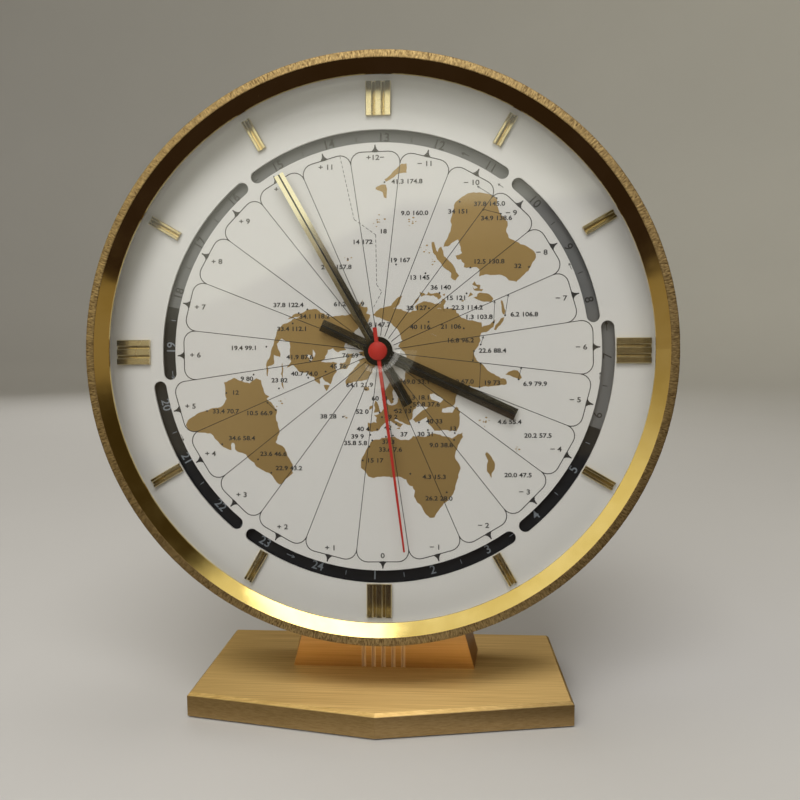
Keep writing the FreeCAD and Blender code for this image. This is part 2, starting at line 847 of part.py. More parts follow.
hour_wheel = joined([
    gear(hour_wheel_teeth, motion_module, hour_wheel_back, hour_wheel_front, hour_pipe_bore,
         facing=minute_wheel_angle, gap_faces=True),
    tube(hour_pipe_radius, hour_pipe_bore, hour_wheel_back, hour_hand_front + hand_ridge)])
cannon_pinion = joined([
    gear(cannon_teeth, motion_module, cannon_back, cannon_front, cannon_bore,
         facing=minute_wheel_angle),
    tube(cannon_pipe_radius, cannon_bore, cannon_back, minute_hand_front + hand_ridge)])
minute_wheel = joined([
    gear(minute_wheel_teeth, motion_module, minute_wheel_back, minute_wheel_front,
         minute_post_radius + running_clearance, minute_centre,
         minute_wheel_angle + 180.0, True),
    gear(minute_pinion_teeth, motion_module, minute_wheel_front, hour_wheel_front,
         minute_post_radius + running_clearance, minute_centre, minute_wheel_angle + 180.0)])
minute_post = rod(minute_post_radius, train_front, carrier_front, minute_centre)


# Hands: flat bars with a raised middle and a slot along it

def bar_hand(length, tail, width, hub_radius, bore, back, front):
    """Square-ended bar hand that points up, with its hub and a sunk centre line."""
    half = width / 2
    ridge = front + hand_ridge
    sink = hand_slot_half_width
    section = [
        (-half, back), (half, back), (half, front), (sink, ridge),
        (sink, ridge - hand_slot_depth), (-sink, ridge - hand_slot_depth),
        (-sink, ridge), (-half, front),
    ]
    points = [V(across, -tail, forward) for across, forward in section]
    bar = Part.Face(Part.makePolygon(points + points[:1])).extrude(V(0, length + tail, 0))
    hub = rod(hub_radius, back, ridge)
    return bar.fuse(hub).cut(rod(bore, back - overrun, ridge + overrun))


hour_hand = turned_by(
    bar_hand(hour_hand_length, hour_hand_tail, hour_hand_width, hour_hub_radius,
             hour_pipe_radius, hour_hand_back, hour_hand_front), hour_hand_angle)
minute_hand = turned_by(
    bar_hand(minute_hand_length, minute_hand_tail, minute_hand_width, minute_hub_radius,
             cannon_pipe_radius, minute_hand_back, minute_hand_front), minute_hand_angle)


def needle_hand():
    """Thin tapered hand that points up, with a round hub."""
    taper = (second_hand_root_width - second_hand_tip_width) / second_hand_length
    tail_half = (second_hand_root_width + taper * second_hand_tail) / 2
    tip_half = second_hand_tip_width / 2
    outline = [(-tail_half, -second_hand_tail), (tail_half, -second_hand_tail),
               (tip_half, second_hand_length), (-tip_half, second_hand_length)]
    needle = flat(outline, second_hand_back, second_hand_front)
    hub = rod(second_hub_radius, second_hand_back, second_hand_front)
    return needle.fuse(hub).cut(
        rod(second_arbor_radius, second_hand_back - overrun, second_hand_front + overrun))


second_hand = turned_by(needle_hand(), second_hand_angle)


def domed_cap():
    """Round button over the middle of the second hand."""
    rim = second_hand_front + cap_rim_height
    top = rim + cap_dome_height
    rise = cap_dome_height
    sphere = (cap_radius ** 2 + rise ** 2) / (2 * rise)
    half_angle = math.asin(cap_radius / sphere) / 2
    bend = V(sphere * math.sin(half_angle), 0, top - sphere * (1 - math.cos(half_angle)))
    edges = [
        Part.makeLine(V(0, 0, second_hand_front), V(cap_radius, 0, second_hand_front)),
        Part.makeLine(V(cap_radius, 0, second_hand_front), V(cap_radius, 0, rim)),
        Part.Arc(V(cap_radius, 0, rim), bend, V(0, 0, top)).toShape(),
        Part.makeLine(V(0, 0, top), V(0, 0, second_hand_front)),
    ]
    return Part.Face(Part.Wire(edges)).revolve(V(0, 0, 0), FRONT, 360)


hand_cap = domed_cap()
second_arbor = joined([
    rod(second_arbor_radius, train_bridge_back, second_hand_front),
    gear(second_wheel_teeth, second_wheel_module, second_wheel_back, second_wheel_front,
         second_arbor_radius / 2, facing=step_wheel_angle, gap_faces=True)])


# Stepping motor's rotor and the wheel between it and the second wheel

step_wheel = joined([
    rod(step_arbor_radius, train_bridge_back, train_front, step_centre),
    gear(step_pinion_teeth, second_wheel_module, step_wheel_front,
         second_wheel_front + wheel_level_gap, step_arbor_radius / 2, step_centre,
         step_wheel_angle + 180.0),
    gear(step_wheel_teeth, second_wheel_module, step_wheel_back, step_wheel_front,
         step_arbor_radius / 2, step_centre, rotor_angle, True)])
rotor_pinion = joined([
    rod(rotor_arbor_radius, train_bridge_back, train_front, rotor_centre),
    gear(rotor_pinion_teeth, second_wheel_module, stator_front, step_wheel_front,
         rotor_arbor_radius / 2, rotor_centre, rotor_angle + 180.0)])
rotor_magnet = tube(rotor_radius, rotor_arbor_radius, stator_back, stator_front, rotor_centre)


# Train plate on four pillars behind the carrier

pillar_across = train_plate_half_width - train_pillar_inset
train_pillar_places = [(side * pillar_across, up * pillar_across)
                       for side in (-1, 1) for up in (-1, 1)]
train_pillars = [rod(train_pillar_radius, train_front, carrier_back, place)
                 for place in train_pillar_places]
stator_post_places = [(side * (stator_half_width - stator_bar_width / 2), coil_height)
                      for side in (-1, 1)]
train_plate = block(-train_plate_half_width, train_plate_half_width, -train_plate_half_width,
                    train_plate_half_width, train_back, train_front)
train_plate = joined([train_plate] + [
    rod(train_pillar_radius, stator_front, train_front, place) for place in stator_post_places])
arbor_places = {(0.0, 0.0): second_arbor_radius, step_centre: step_arbor_radius,
                rotor_centre: rotor_arbor_radius}


def arbor_holes(back, front):
    """Bearing holes of the second, step and rotor arbors."""
    return [hole for place, radius in arbor_places.items()
            for hole in through(radius + running_clearance, back, front, [place])]


train_plate = without(train_plate, arbor_holes(train_back, train_front))
train_plate = without(train_plate, through(
    setting_shaft_radius + running_clearance, train_back, train_front, [setting_centre]))

# Back bridge of the train, a flat strap on two posts

def strap(start, stop):
    """Flat arm with round ends between two places."""
    across, up = stop[0] - start[0], stop[1] - start[1]
    arm = block(0.0, math.hypot(across, up), -train_bridge_half_width, train_bridge_half_width,
                train_bridge_back, train_bridge_front)
    arm.rotate(V(0, 0, 0), FRONT, math.degrees(math.atan2(up, across)))
    arm.translate(V(start[0], start[1], 0))
    ends = [rod(train_bridge_half_width, train_bridge_back, train_bridge_front, place)
            for place in (start, stop)]
    return joined([arm] + ends)


first_post, last_post = train_bridge_post_places
train_bridge = joined(
    [strap(first_post, (0.0, 0.0)), strap((0.0, 0.0), step_centre),
     strap(step_centre, last_post), strap(step_centre, rotor_centre)]
    + [rod(train_bridge_post_radius, train_bridge_front, train_back, place)
       for place in train_bridge_post_places])
train_bridge = without(train_bridge, arbor_holes(train_bridge_back, train_bridge_front))

# Stator with the rotor's hole, and the drive coil on its core
stator_bar = block(-stator_half_width, stator_half_width, coil_height - stator_bar_width / 2,
                   coil_height + stator_bar_width / 2, stator_back, stator_front)
stator_legs = [
    block(min(side * stator_half_width, side * (stator_half_width - stator_bar_width)),
          max(side * stator_half_width, side * (stator_half_width - stator_bar_width)),
          rotor_centre[1], coil_height, stator_back, stator_front)
    for side in (-1, 1)]
stator_plate = block(-stator_half_width, stator_half_width,
                     rotor_centre[1] - stator_plate_half_height,
                     rotor_centre[1] + stator_plate_half_height, stator_back, stator_front)
stator_core = joined([stator_bar, stator_plate] + stator_legs)
stator_core = without(stator_core, through(
    rotor_radius + rotor_gap, stator_back, stator_front, [rotor_centre]))
coil_level = (stator_front + stator_back) / 2


def along_stator(radius, start, stop):
    return Part.makeCylinder(radius, stop - start, V(start, coil_height, coil_level), V(1, 0, 0))


core_hole = block(
    -coil_half_length - overrun, coil_half_length + overrun,
    coil_height - stator_bar_width / 2 - core_clearance,
    coil_height + stator_bar_width / 2 + core_clearance,
    stator_back - core_clearance, stator_front + core_clearance)
drive_coil = joined([
    along_stator(coil_radius, -coil_half_length, coil_half_length),
    along_stator(flange_radius, -coil_half_length, flange_thickness - coil_half_length),
    along_stator(flange_radius, coil_half_length - flange_thickness, coil_half_length)])
drive_coil = drive_coil.cut(core_hole)


# Moulded housing: a closed chamber above and a battery bay open to the back

housing = block(-housing_half_width, housing_half_width, -housing_bottom, housing_top,
                cover_inner, carrier_back)
chamber = block(-housing_half_width + housing_wall, housing_half_width - housing_wall,
                chamber_bottom, housing_top - housing_wall, housing_inner,
                carrier_back + overrun)
bay = block(-bay_half_width, bay_half_width, hatch_bottom, hatch_top,
            cover_inner - overrun, bay_front)
board_boss_across = board_half_width - board_boss_radius
board_boss_places = [(side * board_boss_across, up) for side in (-1, 1)
                     for up in (board_top - board_boss_radius, board_boss_radius - board_bottom)]
housing_bosses = [
    rod(housing_boss_radius, housing_inner, carrier_back, place)
    for place in housing_screw_places if place[1] > chamber_bottom]
housing_bosses += [rod(board_boss_radius, housing_inner, board_back, place)
                   for place in board_boss_places]
movement_housing = joined([without(housing, [chamber, bay])] + housing_bosses)
movement_housing = without(movement_housing, [
    rod(housing_screw_radius, carrier_back - housing_screw_grip, carrier_back + overrun, place)
    for place in housing_screw_places])
movement_housing = movement_housing.cut(
    rod(setting_shaft_radius + running_clearance, cover_inner - overrun, board_back,
        setting_centre))


def front_screw(place):
    head = rod(housing_screw_head_radius, carrier_front,
               carrier_front + housing_screw_head_height, place)
    return head.fuse(rod(housing_screw_radius, carrier_back - housing_screw_grip,
                         carrier_front, place))


housing_screws = [front_screw(place) for place in housing_screw_places]

# Circuit board with its chip and quartz can
circuit_board = block(-board_half_width, board_half_width, -board_bottom, board_top,
                      board_back, board_front)
circuit_board = without(circuit_board, through(
    2 * setting_shaft_radius, board_back, board_front, [setting_centre]))
control_chip = block(-chip_width / 2, chip_width / 2, -chip_height / 2, chip_height / 2,
                     board_front, board_front + chip_thickness)
crystal_up = chip_height / 2 + 2 * crystal_radius
quartz_can = Part.makeCylinder(
    crystal_radius, crystal_length,
    V(-crystal_length / 2, crystal_up, board_front + crystal_radius), V(1, 0, 0))

# Battery across the bay, between a strip and a coiled contact
battery_level = bay_front - battery_radius - bay_clearance
battery_start = -bay_half_width + contact_half_width / 2


def along_battery(radius, start, stop):
    return Part.makeCylinder(radius, stop - start, V(start, -battery_centre_drop, battery_level),
                             V(1, 0, 0))


battery = joined([
    along_battery(battery_radius, battery_start, battery_start + battery_length),
    along_battery(battery_nub_radius, battery_start + battery_length,
                  battery_start + battery_length + battery_nub_length)])
nub_end = battery_start + battery_length + battery_nub_length


def contact_plate(start, stop):
    return block(start, stop, -battery_centre_drop - contact_half_width,
                 contact_half_width - battery_centre_drop, battery_level - contact_half_width,
                 battery_level + contact_half_width)


def contact_cone():
    """Stepped cone that stands for the closed coils of the spring contact."""
    start = contact_thickness - bay_half_width
    depth = (battery_start - start) / contact_turns
    rings = []
    for turn in range(contact_turns):
        radius = contact_half_width * (1 - turn / (2 * contact_turns))
        rings.append(along_battery(radius, start + turn * depth, start + (turn + 1) * depth))
    return joined(rings)


spring_contact = joined([
    contact_plate(-bay_half_width, contact_thickness - bay_half_width), contact_cone()])
strip_contact = contact_plate(nub_end, bay_half_width)


# Back cover with the battery opening, and the hinged hatch in it

hatch_half_width = bay_half_width
hinge_up = hatch_bottom - hatch_edge - hinge_barrel_radius
hinge_level = cover_outer - hinge_barrel_radius - hinge_lift


def along_hinge(radius, start, stop):
    return Part.makeCylinder(radius, stop - start, V(start, hinge_up, hinge_level), V(1, 0, 0))


def hinge_lug(side):
    start = min(side * hinge_half_length, side * (hinge_half_length + hinge_lug_length))
    stop = start + hinge_lug_length
    foot = block(start, stop, hinge_up - hinge_barrel_radius, hinge_up + hinge_barrel_radius,
                 hinge_level, cover_outer)
    return foot.fuse(along_hinge(hinge_barrel_radius, start, stop))


back_cover = turned([
    (0.0, cover_outer),
    (case_bore, cover_outer),
    (case_bore, cover_inner),
    (0.0, cover_inner),
])
back_cover = joined([back_cover] + [hinge_lug(side) for side in (-1, 1)])
back_cover = back_cover.cut(
    block(-hatch_half_width, hatch_half_width, hatch_bottom, hatch_top,
          cover_outer - overrun, cover_inner + overrun))
pin_end = hinge_half_length + hinge_lug_length
back_cover = back_cover.cut(along_hinge(hinge_pin_radius, -pin_end - overrun, pin_end + overrun))
back_cover = without(back_cover, through(
    cover_screw_radius + screw_clearance, cover_outer, cover_inner, lug_places + pillar_places))
back_cover = back_cover.cut(rod(2 * setting_shaft_radius, cover_outer - overrun,
                                cover_inner + overrun, setting_centre))
hinge_pin = along_hinge(hinge_pin_radius, -pin_end, pin_end)
leaf_half = hinge_half_length - hatch_clearance
hatch_leaf = block(-leaf_half, leaf_half, hinge_up, hatch_bottom + catch_width,
                   hinge_level, cover_outer - hinge_lift)
battery_hatch = joined([
    block(-hatch_half_width + hatch_clearance, hatch_half_width - hatch_clearance,
          hatch_bottom + hatch_clearance, hatch_top - hatch_clearance,
          cover_outer - hinge_lift, cover_inner),
    hatch_leaf,
    along_hinge(hinge_barrel_radius, -leaf_half, leaf_half),
    block(-catch_width / 2, catch_width / 2, hatch_top - hatch_clearance - catch_height,
          hatch_top - hatch_clearance, hinge_level, cover_outer)])
battery_hatch = battery_hatch.cut(
    along_hinge(hinge_pin_radius + running_clearance, -pin_end, pin_end))
cover_screws = [back_screw(cover_screw_radius, cover_screw_head_radius, cover_screw_head_height,
                           cover_outer, cover_thickness + cover_screw_grip, place)
                for place in lug_places + pillar_places]

# Setting knob on its shaft and pinion
knob_front = cover_outer - knob_gap
setting_shaft = rod(setting_shaft_radius, knob_front - knob_height / 2, carrier_front,
                    setting_centre)
setting_pinion = gear(setting_pinion_teeth, motion_module, minute_wheel_back,
                      minute_wheel_front, setting_shaft_radius, setting_centre,
                      setting_angle + 180.0)
knob_flute_places = [at(knob_radius, number * 360.0 / knob_flutes, setting_centre)
                     for number in range(knob_flutes)]
knob_blank = rod(knob_radius, knob_front - knob_height, knob_front, setting_centre)
knob_edges = [edge for edge in knob_blank.Edges if len(edge.Vertexes) == 1]
setting_knob = knob_blank.makeChamfer(knob_bevel, knob_edges)
setting_knob = without(setting_knob, through(
    knob_flute_radius, knob_front - knob_height, knob_front, knob_flute_places))
setting_knob = setting_knob.cut(
    rod(setting_shaft_radius, knob_front - knob_height / 2, knob_front + overrun, setting_centre))

os.makedirs("parts", exist_ok=True)

stand_pieces = {
    "base_plate": [base_plate],
    "base_felt": [base_felt],
    "base_screws": base_screws,
    "neck": [neck],
}
case_pieces = {
    "neck_screws": neck_screws,
    "case_drum": [case_drum],
    "bezel_ring": [bezel_ring],
    "glass_lens": [glass_lens],
    "glass_gasket": [gasket],
    "spacer_ring": [spacer_ring],
    "dial_plate": [dial_plate],
    "wide_markers": wide_markers,
    "slim_markers": slim_markers,
    "seat_ring": [seat_ring],
    "carrier_posts": carrier_posts,
    "carrier_screws": post_screws,
    "carrier_plate": [carrier_plate],
    "stack_pillars": stack_pillars,
    "ring_bridge": [ring_bridge],
    "bridge_posts": bridge_posts,
    "ring_clip": [ring_clip],
    "hour_ring": [hour_ring],
    "ring_wheel": [ring_wheel],
    "transfer_wheel": [transfer_wheel],
    "transfer_pinion": [transfer_pinion],
    "transfer_arbor": [transfer_arbor],
    "hour_pinion": [hour_pinion],
    "hour_wheel": [hour_wheel],
    "hour_hand": [hour_hand],
    "cannon_pinion": [cannon_pinion],
    "minute_hand": [minute_hand],
    "minute_wheel": [minute_wheel],
    "minute_post": [minute_post],
    "second_arbor": [second_arbor],
    "step_wheel": [step_wheel],
    "rotor_pinion": [rotor_pinion],
    "rotor_magnet": [rotor_magnet],
    "second_hand": [second_hand],
    "hand_cap": [hand_cap],
    "train_plate": [train_plate],
    "train_pillars": train_pillars,
    "train_bridge": [train_bridge],
    "stator_core": [stator_core],
    "drive_coil": [drive_coil],
    "movement_housing": [movement_housing],
    "housing_screws": housing_screws,
    "circuit_board": [circuit_board],
    "control_chip": [control_chip],
    "quartz_can": [quartz_can],
    "battery": [battery],
    "spring_contact": [spring_contact],
    "strip_contact": [strip_contact],
    "back_cover": [back_cover],
    "cover_screws": cover_screws,
    "hinge_pin": [hinge_pin],
    "battery_hatch": [battery_hatch],
    "setting_shaft": [setting_shaft],
    "setting_pinion": [setting_pinion],
    "setting_knob": [setting_knob],
}
for name, shapes in stand_pieces.items():
    save(name, shapes, in_case=False)
for name, shapes in case_pieces.items():
    save(name, shapes)

axis_places = {
    "hands": (0.0, 0.0),
    "transfer wheel": transfer_centre,
    "minute wheel": minute_centre,
    "step wheel": step_centre,
    "rotor": rotor_centre,
    "setting knob": setting_centre,
}
for label, place in axis_places.items():
    spot = STAND_PLACE.multVec(V(place[0], place[1], 0))
    print(label, "axis passes through", [round(value, 4) for value in spot])
hinge_spot = STAND_PLACE.multVec(V(0, hinge_up, hinge_level))
print("hatch hinge passes through", [round(value, 4) for value in hinge_spot])
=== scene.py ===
import json
import math
import bpy
from mathutils import Matrix, Vector, noise


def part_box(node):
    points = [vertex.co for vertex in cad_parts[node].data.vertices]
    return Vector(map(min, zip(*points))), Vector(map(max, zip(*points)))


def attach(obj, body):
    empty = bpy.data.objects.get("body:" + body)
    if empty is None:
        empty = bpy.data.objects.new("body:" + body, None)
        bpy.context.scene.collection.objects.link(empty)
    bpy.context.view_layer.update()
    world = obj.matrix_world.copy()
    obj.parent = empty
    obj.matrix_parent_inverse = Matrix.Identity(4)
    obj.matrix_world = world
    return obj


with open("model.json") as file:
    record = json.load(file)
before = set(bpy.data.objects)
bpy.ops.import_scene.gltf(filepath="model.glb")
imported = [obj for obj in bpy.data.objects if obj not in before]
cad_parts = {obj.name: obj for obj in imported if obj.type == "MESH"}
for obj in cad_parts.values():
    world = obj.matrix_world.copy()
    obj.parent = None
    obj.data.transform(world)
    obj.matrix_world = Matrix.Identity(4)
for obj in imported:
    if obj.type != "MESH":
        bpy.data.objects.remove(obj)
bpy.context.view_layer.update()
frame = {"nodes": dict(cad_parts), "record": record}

mm = 0.001
bpy.context.scene.view_settings.view_transform = "Standard"
bpy.ops.object.select_all(action="DESELECT")


# Camera, where the photograph was taken from: close to the dial, a little to its right
# and slightly above its middle, with a short lens.

view_turn = math.radians(3.698)
view_drop = math.radians(5.771)
view_roll = math.radians(-0.383)
view_distance = 344.06 * mm
view_target = Vector((9.11, -7.5, 137.49)) * mm
camera_turn = (Matrix.Rotation(view_turn, 4, "Z")
               @ Matrix.Rotation(math.pi / 2 - view_drop, 4, "X")
               @ Matrix.Rotation(view_roll, 4, "Z"))
bpy.ops.object.camera_add()
camera = bpy.context.object
camera.matrix_world = (Matrix.Translation(view_target) @ camera_turn
                       @ Matrix.Translation((0, 0, view_distance)))
camera.data.lens = 35.26
camera.data.sensor_width = 36.0
camera.data.clip_start = 0.01
bpy.context.scene.camera = camera


class Wire:
    """An output of a shader node. Sums on it add Math nodes, and node() adds any other."""

    def __init__(self, tree, socket=None):
        self.tree = tree
        self.socket = socket

    def node(self, kind, settings=None, values=None, output=0):
        """Adds a node: its settings first, then the numbers or links of its sockets."""
        made = self.tree.nodes.new("ShaderNode" + kind)
        for name, setting in (settings or {}).items():
            setattr(made, name, setting)
        for name, value in (values or {}).items():
            if isinstance(value, Wire):
                self.tree.links.new(value.socket, made.inputs[name])
            else:
                made.inputs[name].default_value = value
        return Wire(self.tree, made.outputs[output] if made.outputs else None)

    def sum(self, operation, first, second=0.0):
        """A Math node on two wires or numbers."""
        return self.node("Math", {"operation": operation}, {0: first, 1: second})

    def __add__(self, other):
        return self.sum("ADD", self, other)

    def __radd__(self, other):
        return self.sum("ADD", other, self)

    def __sub__(self, other):
        return self.sum("SUBTRACT", self, other)

    def __rsub__(self, other):
        return self.sum("SUBTRACT", other, self)

    def __mul__(self, other):
        return self.sum("MULTIPLY", self, other)

    def __rmul__(self, other):
        return self.sum("MULTIPLY", other, self)

    def __truediv__(self, other):
        return self.sum("DIVIDE", self, other)

    def __pow__(self, other):
        return self.sum("POWER", self, other)

    def __abs__(self):
        return self.sum("ABSOLUTE", self)

    def step(self, low, high):
        """Rises smoothly from 0 at low to 1 at high."""
        return self.node("MapRange", {"interpolation_type": "SMOOTHSTEP"},
                         {"Value": self, "From Min": low, "From Max": high})

    def mix(self, colour, other):
        """Goes from one colour to the other as this wire goes from 0 to 1."""
        return self.node("Mix", {"data_type": "RGBA"}, {0: self, 6: colour, 7: other}, 2)


# Pale floor: a round sheet under the clock, and round it one seamless sweep that turns up
# into a wall. Polished metal mirrors the sheet alone, so that the case keeps the dark and
# bright bands of the dim room while the stand picks up the floor in front of it.

sheet_radius = 0.13
sweep_profile = ((sheet_radius, 0.0), (1.9, 0.0), (2.3, 0.08), (2.6, 0.35), (2.7, 0.8), (2.7, 2.2))
bpy.ops.mesh.primitive_circle_add(vertices=96, radius=sheet_radius, fill_type="NGON")
sheet = bpy.context.object
sheet.name = "floor_sheet"
bpy.ops.mesh.primitive_circle_add(vertices=96, radius=sheet_radius)
sweep = bpy.context.object
sweep.name = "floor_sweep"
bpy.ops.object.mode_set(mode="EDIT")
bpy.ops.mesh.select_all(action="SELECT")
for (radius, height), (wider, higher) in zip(sweep_profile, sweep_profile[1:]):
    bpy.ops.mesh.extrude_region_move(TRANSFORM_OT_translate={"value": (0, 0, higher - height)})
    bpy.ops.transform.resize(value=(wider / radius, wider / radius, 1), center_override=(0, 0, 0))
bpy.ops.mesh.select_all(action="SELECT")
bpy.ops.mesh.normals_make_consistent(inside=True)
bpy.ops.object.mode_set(mode="OBJECT")
bpy.ops.object.shade_smooth_by_angle(angle=math.radians(40))
sweep.visible_glossy = False


def new_finish(name):
    """A material with an empty node tree, and a pen to write its nodes with."""
    material = bpy.data.materials.new(name)
    material.use_nodes = True
    material.node_tree.nodes.clear()
    return material, Wire(material.node_tree)


def surface(pen, colour, roughness, metallic=0.0, relief=None, depth=0.02 * mm, **constants):
    """Ends a material: the shader, with a bump where a relief is given, and the output."""
    sockets = {"Base Color": colour, "Roughness": roughness, "Metallic": metallic}
    if relief is not None:
        sockets["Normal"] = pen.node("Bump", {}, {"Height": relief, "Distance": depth})
    sockets.update({name.replace("_", " "): value for name, value in constants.items()})
    shader = pen.node("BsdfPrincipled", {}, sockets)
    pen.node("OutputMaterial", {}, {"Surface": shader})


def laid_on(pen, matrix=Matrix(), stretch=(1.0, 1.0, 1.0)):
    """Object coordinates turned onto a piece's own axes, in metres, then stretched."""
    where = pen.node("TexCoord", output="Object")
    turned = pen.node("Mapping", {"vector_type": "TEXTURE"},
                      {"Vector": where, "Location": matrix.translation,
                       "Rotation": matrix.to_euler()})
    return pen.node("VectorMath", {"operation": "MULTIPLY"}, {0: turned, 1: stretch})


def grain(pen, where, per_metre=1.0, detail=3.0, harshness=0.55):
    """Noise from 0 to 1 with so many lumps to the metre."""
    return pen.node("TexNoise", {}, {"Vector": where, "Scale": per_metre, "Detail": detail,
                                     "Roughness": harshness})


floor_finish, pen = new_finish("pale_floor")
mottle = grain(pen, laid_on(pen), 3.0)
surface(pen, mottle.mix((0.60, 0.595, 0.59, 1), (0.64, 0.635, 0.63, 1)), 0.85)
for floor in (sheet, sweep):
    floor.data.materials.append(floor_finish)


# Light: a wide soft box above and in front, a small one that lights the lower rim, one high
# behind, low fills that metal doesn't mirror, and a dim room, bright under its ceiling.

warm_white = (1.0, 0.98, 0.95)
dial_height = 150.0


def soft_box(name, turn, height, distance, width, depth, power, colour=warm_white):
    """Area light that looks at the middle of the dial from a direction in degrees."""
    bpy.ops.object.light_add(type="AREA")
    light = bpy.context.object
    light.name = name
    turn, height = math.radians(turn), math.radians(height)
    away = Vector((math.sin(turn) * math.cos(height), -math.cos(turn) * math.cos(height),
                   math.sin(height)))
    light.location = Vector((0, 0, dial_height * mm)) + away * distance
    light.rotation_mode = "QUATERNION"
    light.rotation_quaternion = away.to_track_quat("Z", "Y")
    light.data.shape = "RECTANGLE"
    light.data.size = width
    light.data.size_y = depth
    light.data.energy = power
    light.data.color = colour
    return light


soft_box("key_box", 3, 57, 1.4, 0.9, 0.5, 9.6)
soft_box("front_box", 2, 38, 1.6, 0.45, 0.16, 0.8, (1.0, 0.98, 0.90))
soft_box("top_box", 178, 77, 1.4, 0.7, 0.5, 2.5)
for name, turn, power in (("fill_box", -22, 7.0), ("back_box", 205, 4.0)):
    fill = soft_box(name, turn, 24, 1.6, 1.0, 0.8, power)
    fill.visible_glossy = False

world = bpy.data.worlds.new("room")
bpy.context.scene.world = world
world.use_nodes = True
world.node_tree.nodes.clear()
pen = Wire(world.node_tree)
outwards = pen.node("TexCoord", output="Generated")
right, behind, height = (pen.node("SeparateXYZ", {}, {0: outwards}, axis) for axis in "XYZ")

# The lit part of the room: a ceiling, and below it a bright wall whose lower border falls to
# the left. The right, the far left and the part near the zenith stay out of it.
ceiling = height.step(0.50, 0.58)
falling = height - 0.53 * pen.sum("MINIMUM", pen.sum("MAXIMUM", right, -0.42), -0.05)
lit = ceiling + falling.step(0.355, 0.38) * (1 - ceiling)
lit = lit * (1 - height.step(0.70, 0.76)) * (right + 1).step(0.28, 0.36)
lit = lit * (1 - right.step(0.22, 0.30)) * (right + 1.2 * height).step(-0.30, -0.06)
wall_front = (1 - abs(right).step(0.34, 0.44)) * (1 - ceiling)

# The dim part: graded on the left, dark in the middle and on the right, darkest below.
left = height.step(0.05, 0.45).mix((0.28, 0.22, 0.13, 1), (0.80, 0.74, 0.52, 1))
middle = falling.step(0.30, 0.33).mix((0.020, 0.018, 0.015, 1), (0.19, 0.16, 0.13, 1))
corner = height.step(0.15, 0.20).mix((0.26, 0.20, 0.11, 1), (0.045, 0.032, 0.014, 1))
room = right.step(-0.32, -0.20).mix(left, middle)
room = right.step(0.16, 0.26).mix(room, corner)
room = height.step(-0.055, -0.035).mix((0.028, 0.017, 0.014, 1), room)
room = lit.mix(room, wall_front.mix((0.90, 0.86, 0.66, 1), (1.20, 1.16, 0.90, 1)))
room = behind.step(-0.05, 0.25).mix(room, (0.085, 0.070, 0.055, 1))
room = pen.node("Background", {}, {"Color": room, "Strength": 1.0})
pen.node("OutputWorld", {}, {"Surface": room})


# Stand: a thick five-sided brass plate, brushed from side to side, with a bevelled top
# edge; green felt is glued under it and two screws come up through it into the neck.

def dress(material, *nodes):
    """Gives the CAD nodes this material."""
    for node in nodes:
        for slot in frame["nodes"][node].material_slots:
            slot.material = material


def along_axis(pen, axis, matrix=Matrix()):
    """How far out a point lies along one of a piece's own axes, in metres."""
    return pen.node("SeparateXYZ", {}, {0: laid_on(pen, matrix)}, axis)


def speckled(name, dark, light, roughness, relief, per_metre, detail=2.0, harshness=0.55,
             metallic=0.0, **constants):
    """An even finish with fine specks that also stand out a little, relief in millimetres."""
    material, pen = new_finish(name)
    specks = grain(pen, laid_on(pen), per_metre, detail, harshness)
    surface(pen, specks.mix(dark, light), roughness, metallic, specks, relief * mm, **constants)
    return material


def brushed(name, dark, bright, strokes, smooth=0.22, rough=0.40, stroke_depth=0.035):
    """Metal brushed along one way: strokes is how fine the lines are along each axis."""
    material, pen = new_finish(name)
    lines = grain(pen, laid_on(pen, stretch=strokes), 1.0, 4.0, 0.6)
    cloud = grain(pen, laid_on(pen), 26.0, 2.0)
    tone = lines * 0.7 + cloud * 0.3
    surface(pen, tone.step(0.25, 0.75).mix(dark, bright),
            smooth + (rough - smooth) * lines.step(0.3, 0.7), 1.0, lines, stroke_depth * mm)
    return material


bevel_foot = 9.8
stand_brass, pen = new_finish("brushed_brass_stand")
lines = grain(pen, laid_on(pen, stretch=(14.0, 1700.0, 1700.0)), 1.0, 4.0, 0.6)
top = along_axis(pen, "Z").step(bevel_foot * mm, (bevel_foot + 0.3) * mm)
# Painted shade and light: the side faces below the bevel take a darker, shaded copy of the brass,
# and the bevel and top a lighter, lit copy of the same brass.
edge = lines.step(0.25, 0.75).mix((0.28, 0.185, 0.078, 1), (0.38, 0.26, 0.12, 1))
lit_top_brass = lines.step(0.25, 0.75).mix((0.66, 0.43, 0.15, 1), (0.92, 0.67, 0.29, 1))
across_strokes = pen.node("Tangent", {"direction_type": "RADIAL", "axis": "X"})
surface(pen, top.mix(edge, lit_top_brass), 0.44 + 0.10 * lines, 1 - 0.15 * top, lines, 0.05 * mm,
        Anisotropic=0.9, Tangent=across_strokes)
dress(stand_brass, "base_plate")

felt = speckled("green_felt", (0.010, 0.030, 0.014, 1), (0.035, 0.075, 0.040, 1), 0.95, 0.3,
                2600.0, 4.0, 0.7)
dress(felt, "base_felt")


# Screws, posts, plates and shafts of zinc-plated steel: bright and slightly cloudy. The
# screws hold stand, neck, case and movement together; the plates are screwed to the posts.

zinc = brushed("zinc_steel", (0.42, 0.43, 0.45, 1), (0.66, 0.67, 0.69, 1),
               (420.0, 420.0, 420.0), 0.24, 0.42)
dress(zinc, "base_screws", "neck_screws", "seat_ring", "carrier_screws", "carrier_plate",
      "transfer_arbor", "minute_post", "stator_core", "housing_screws", "cover_screws",
      "hinge_pin", "setting_shaft")


# Neck: a tapered brass block, brushed across, with five engraved flutes up its front and
# a saddle on top that the round case is screwed to.

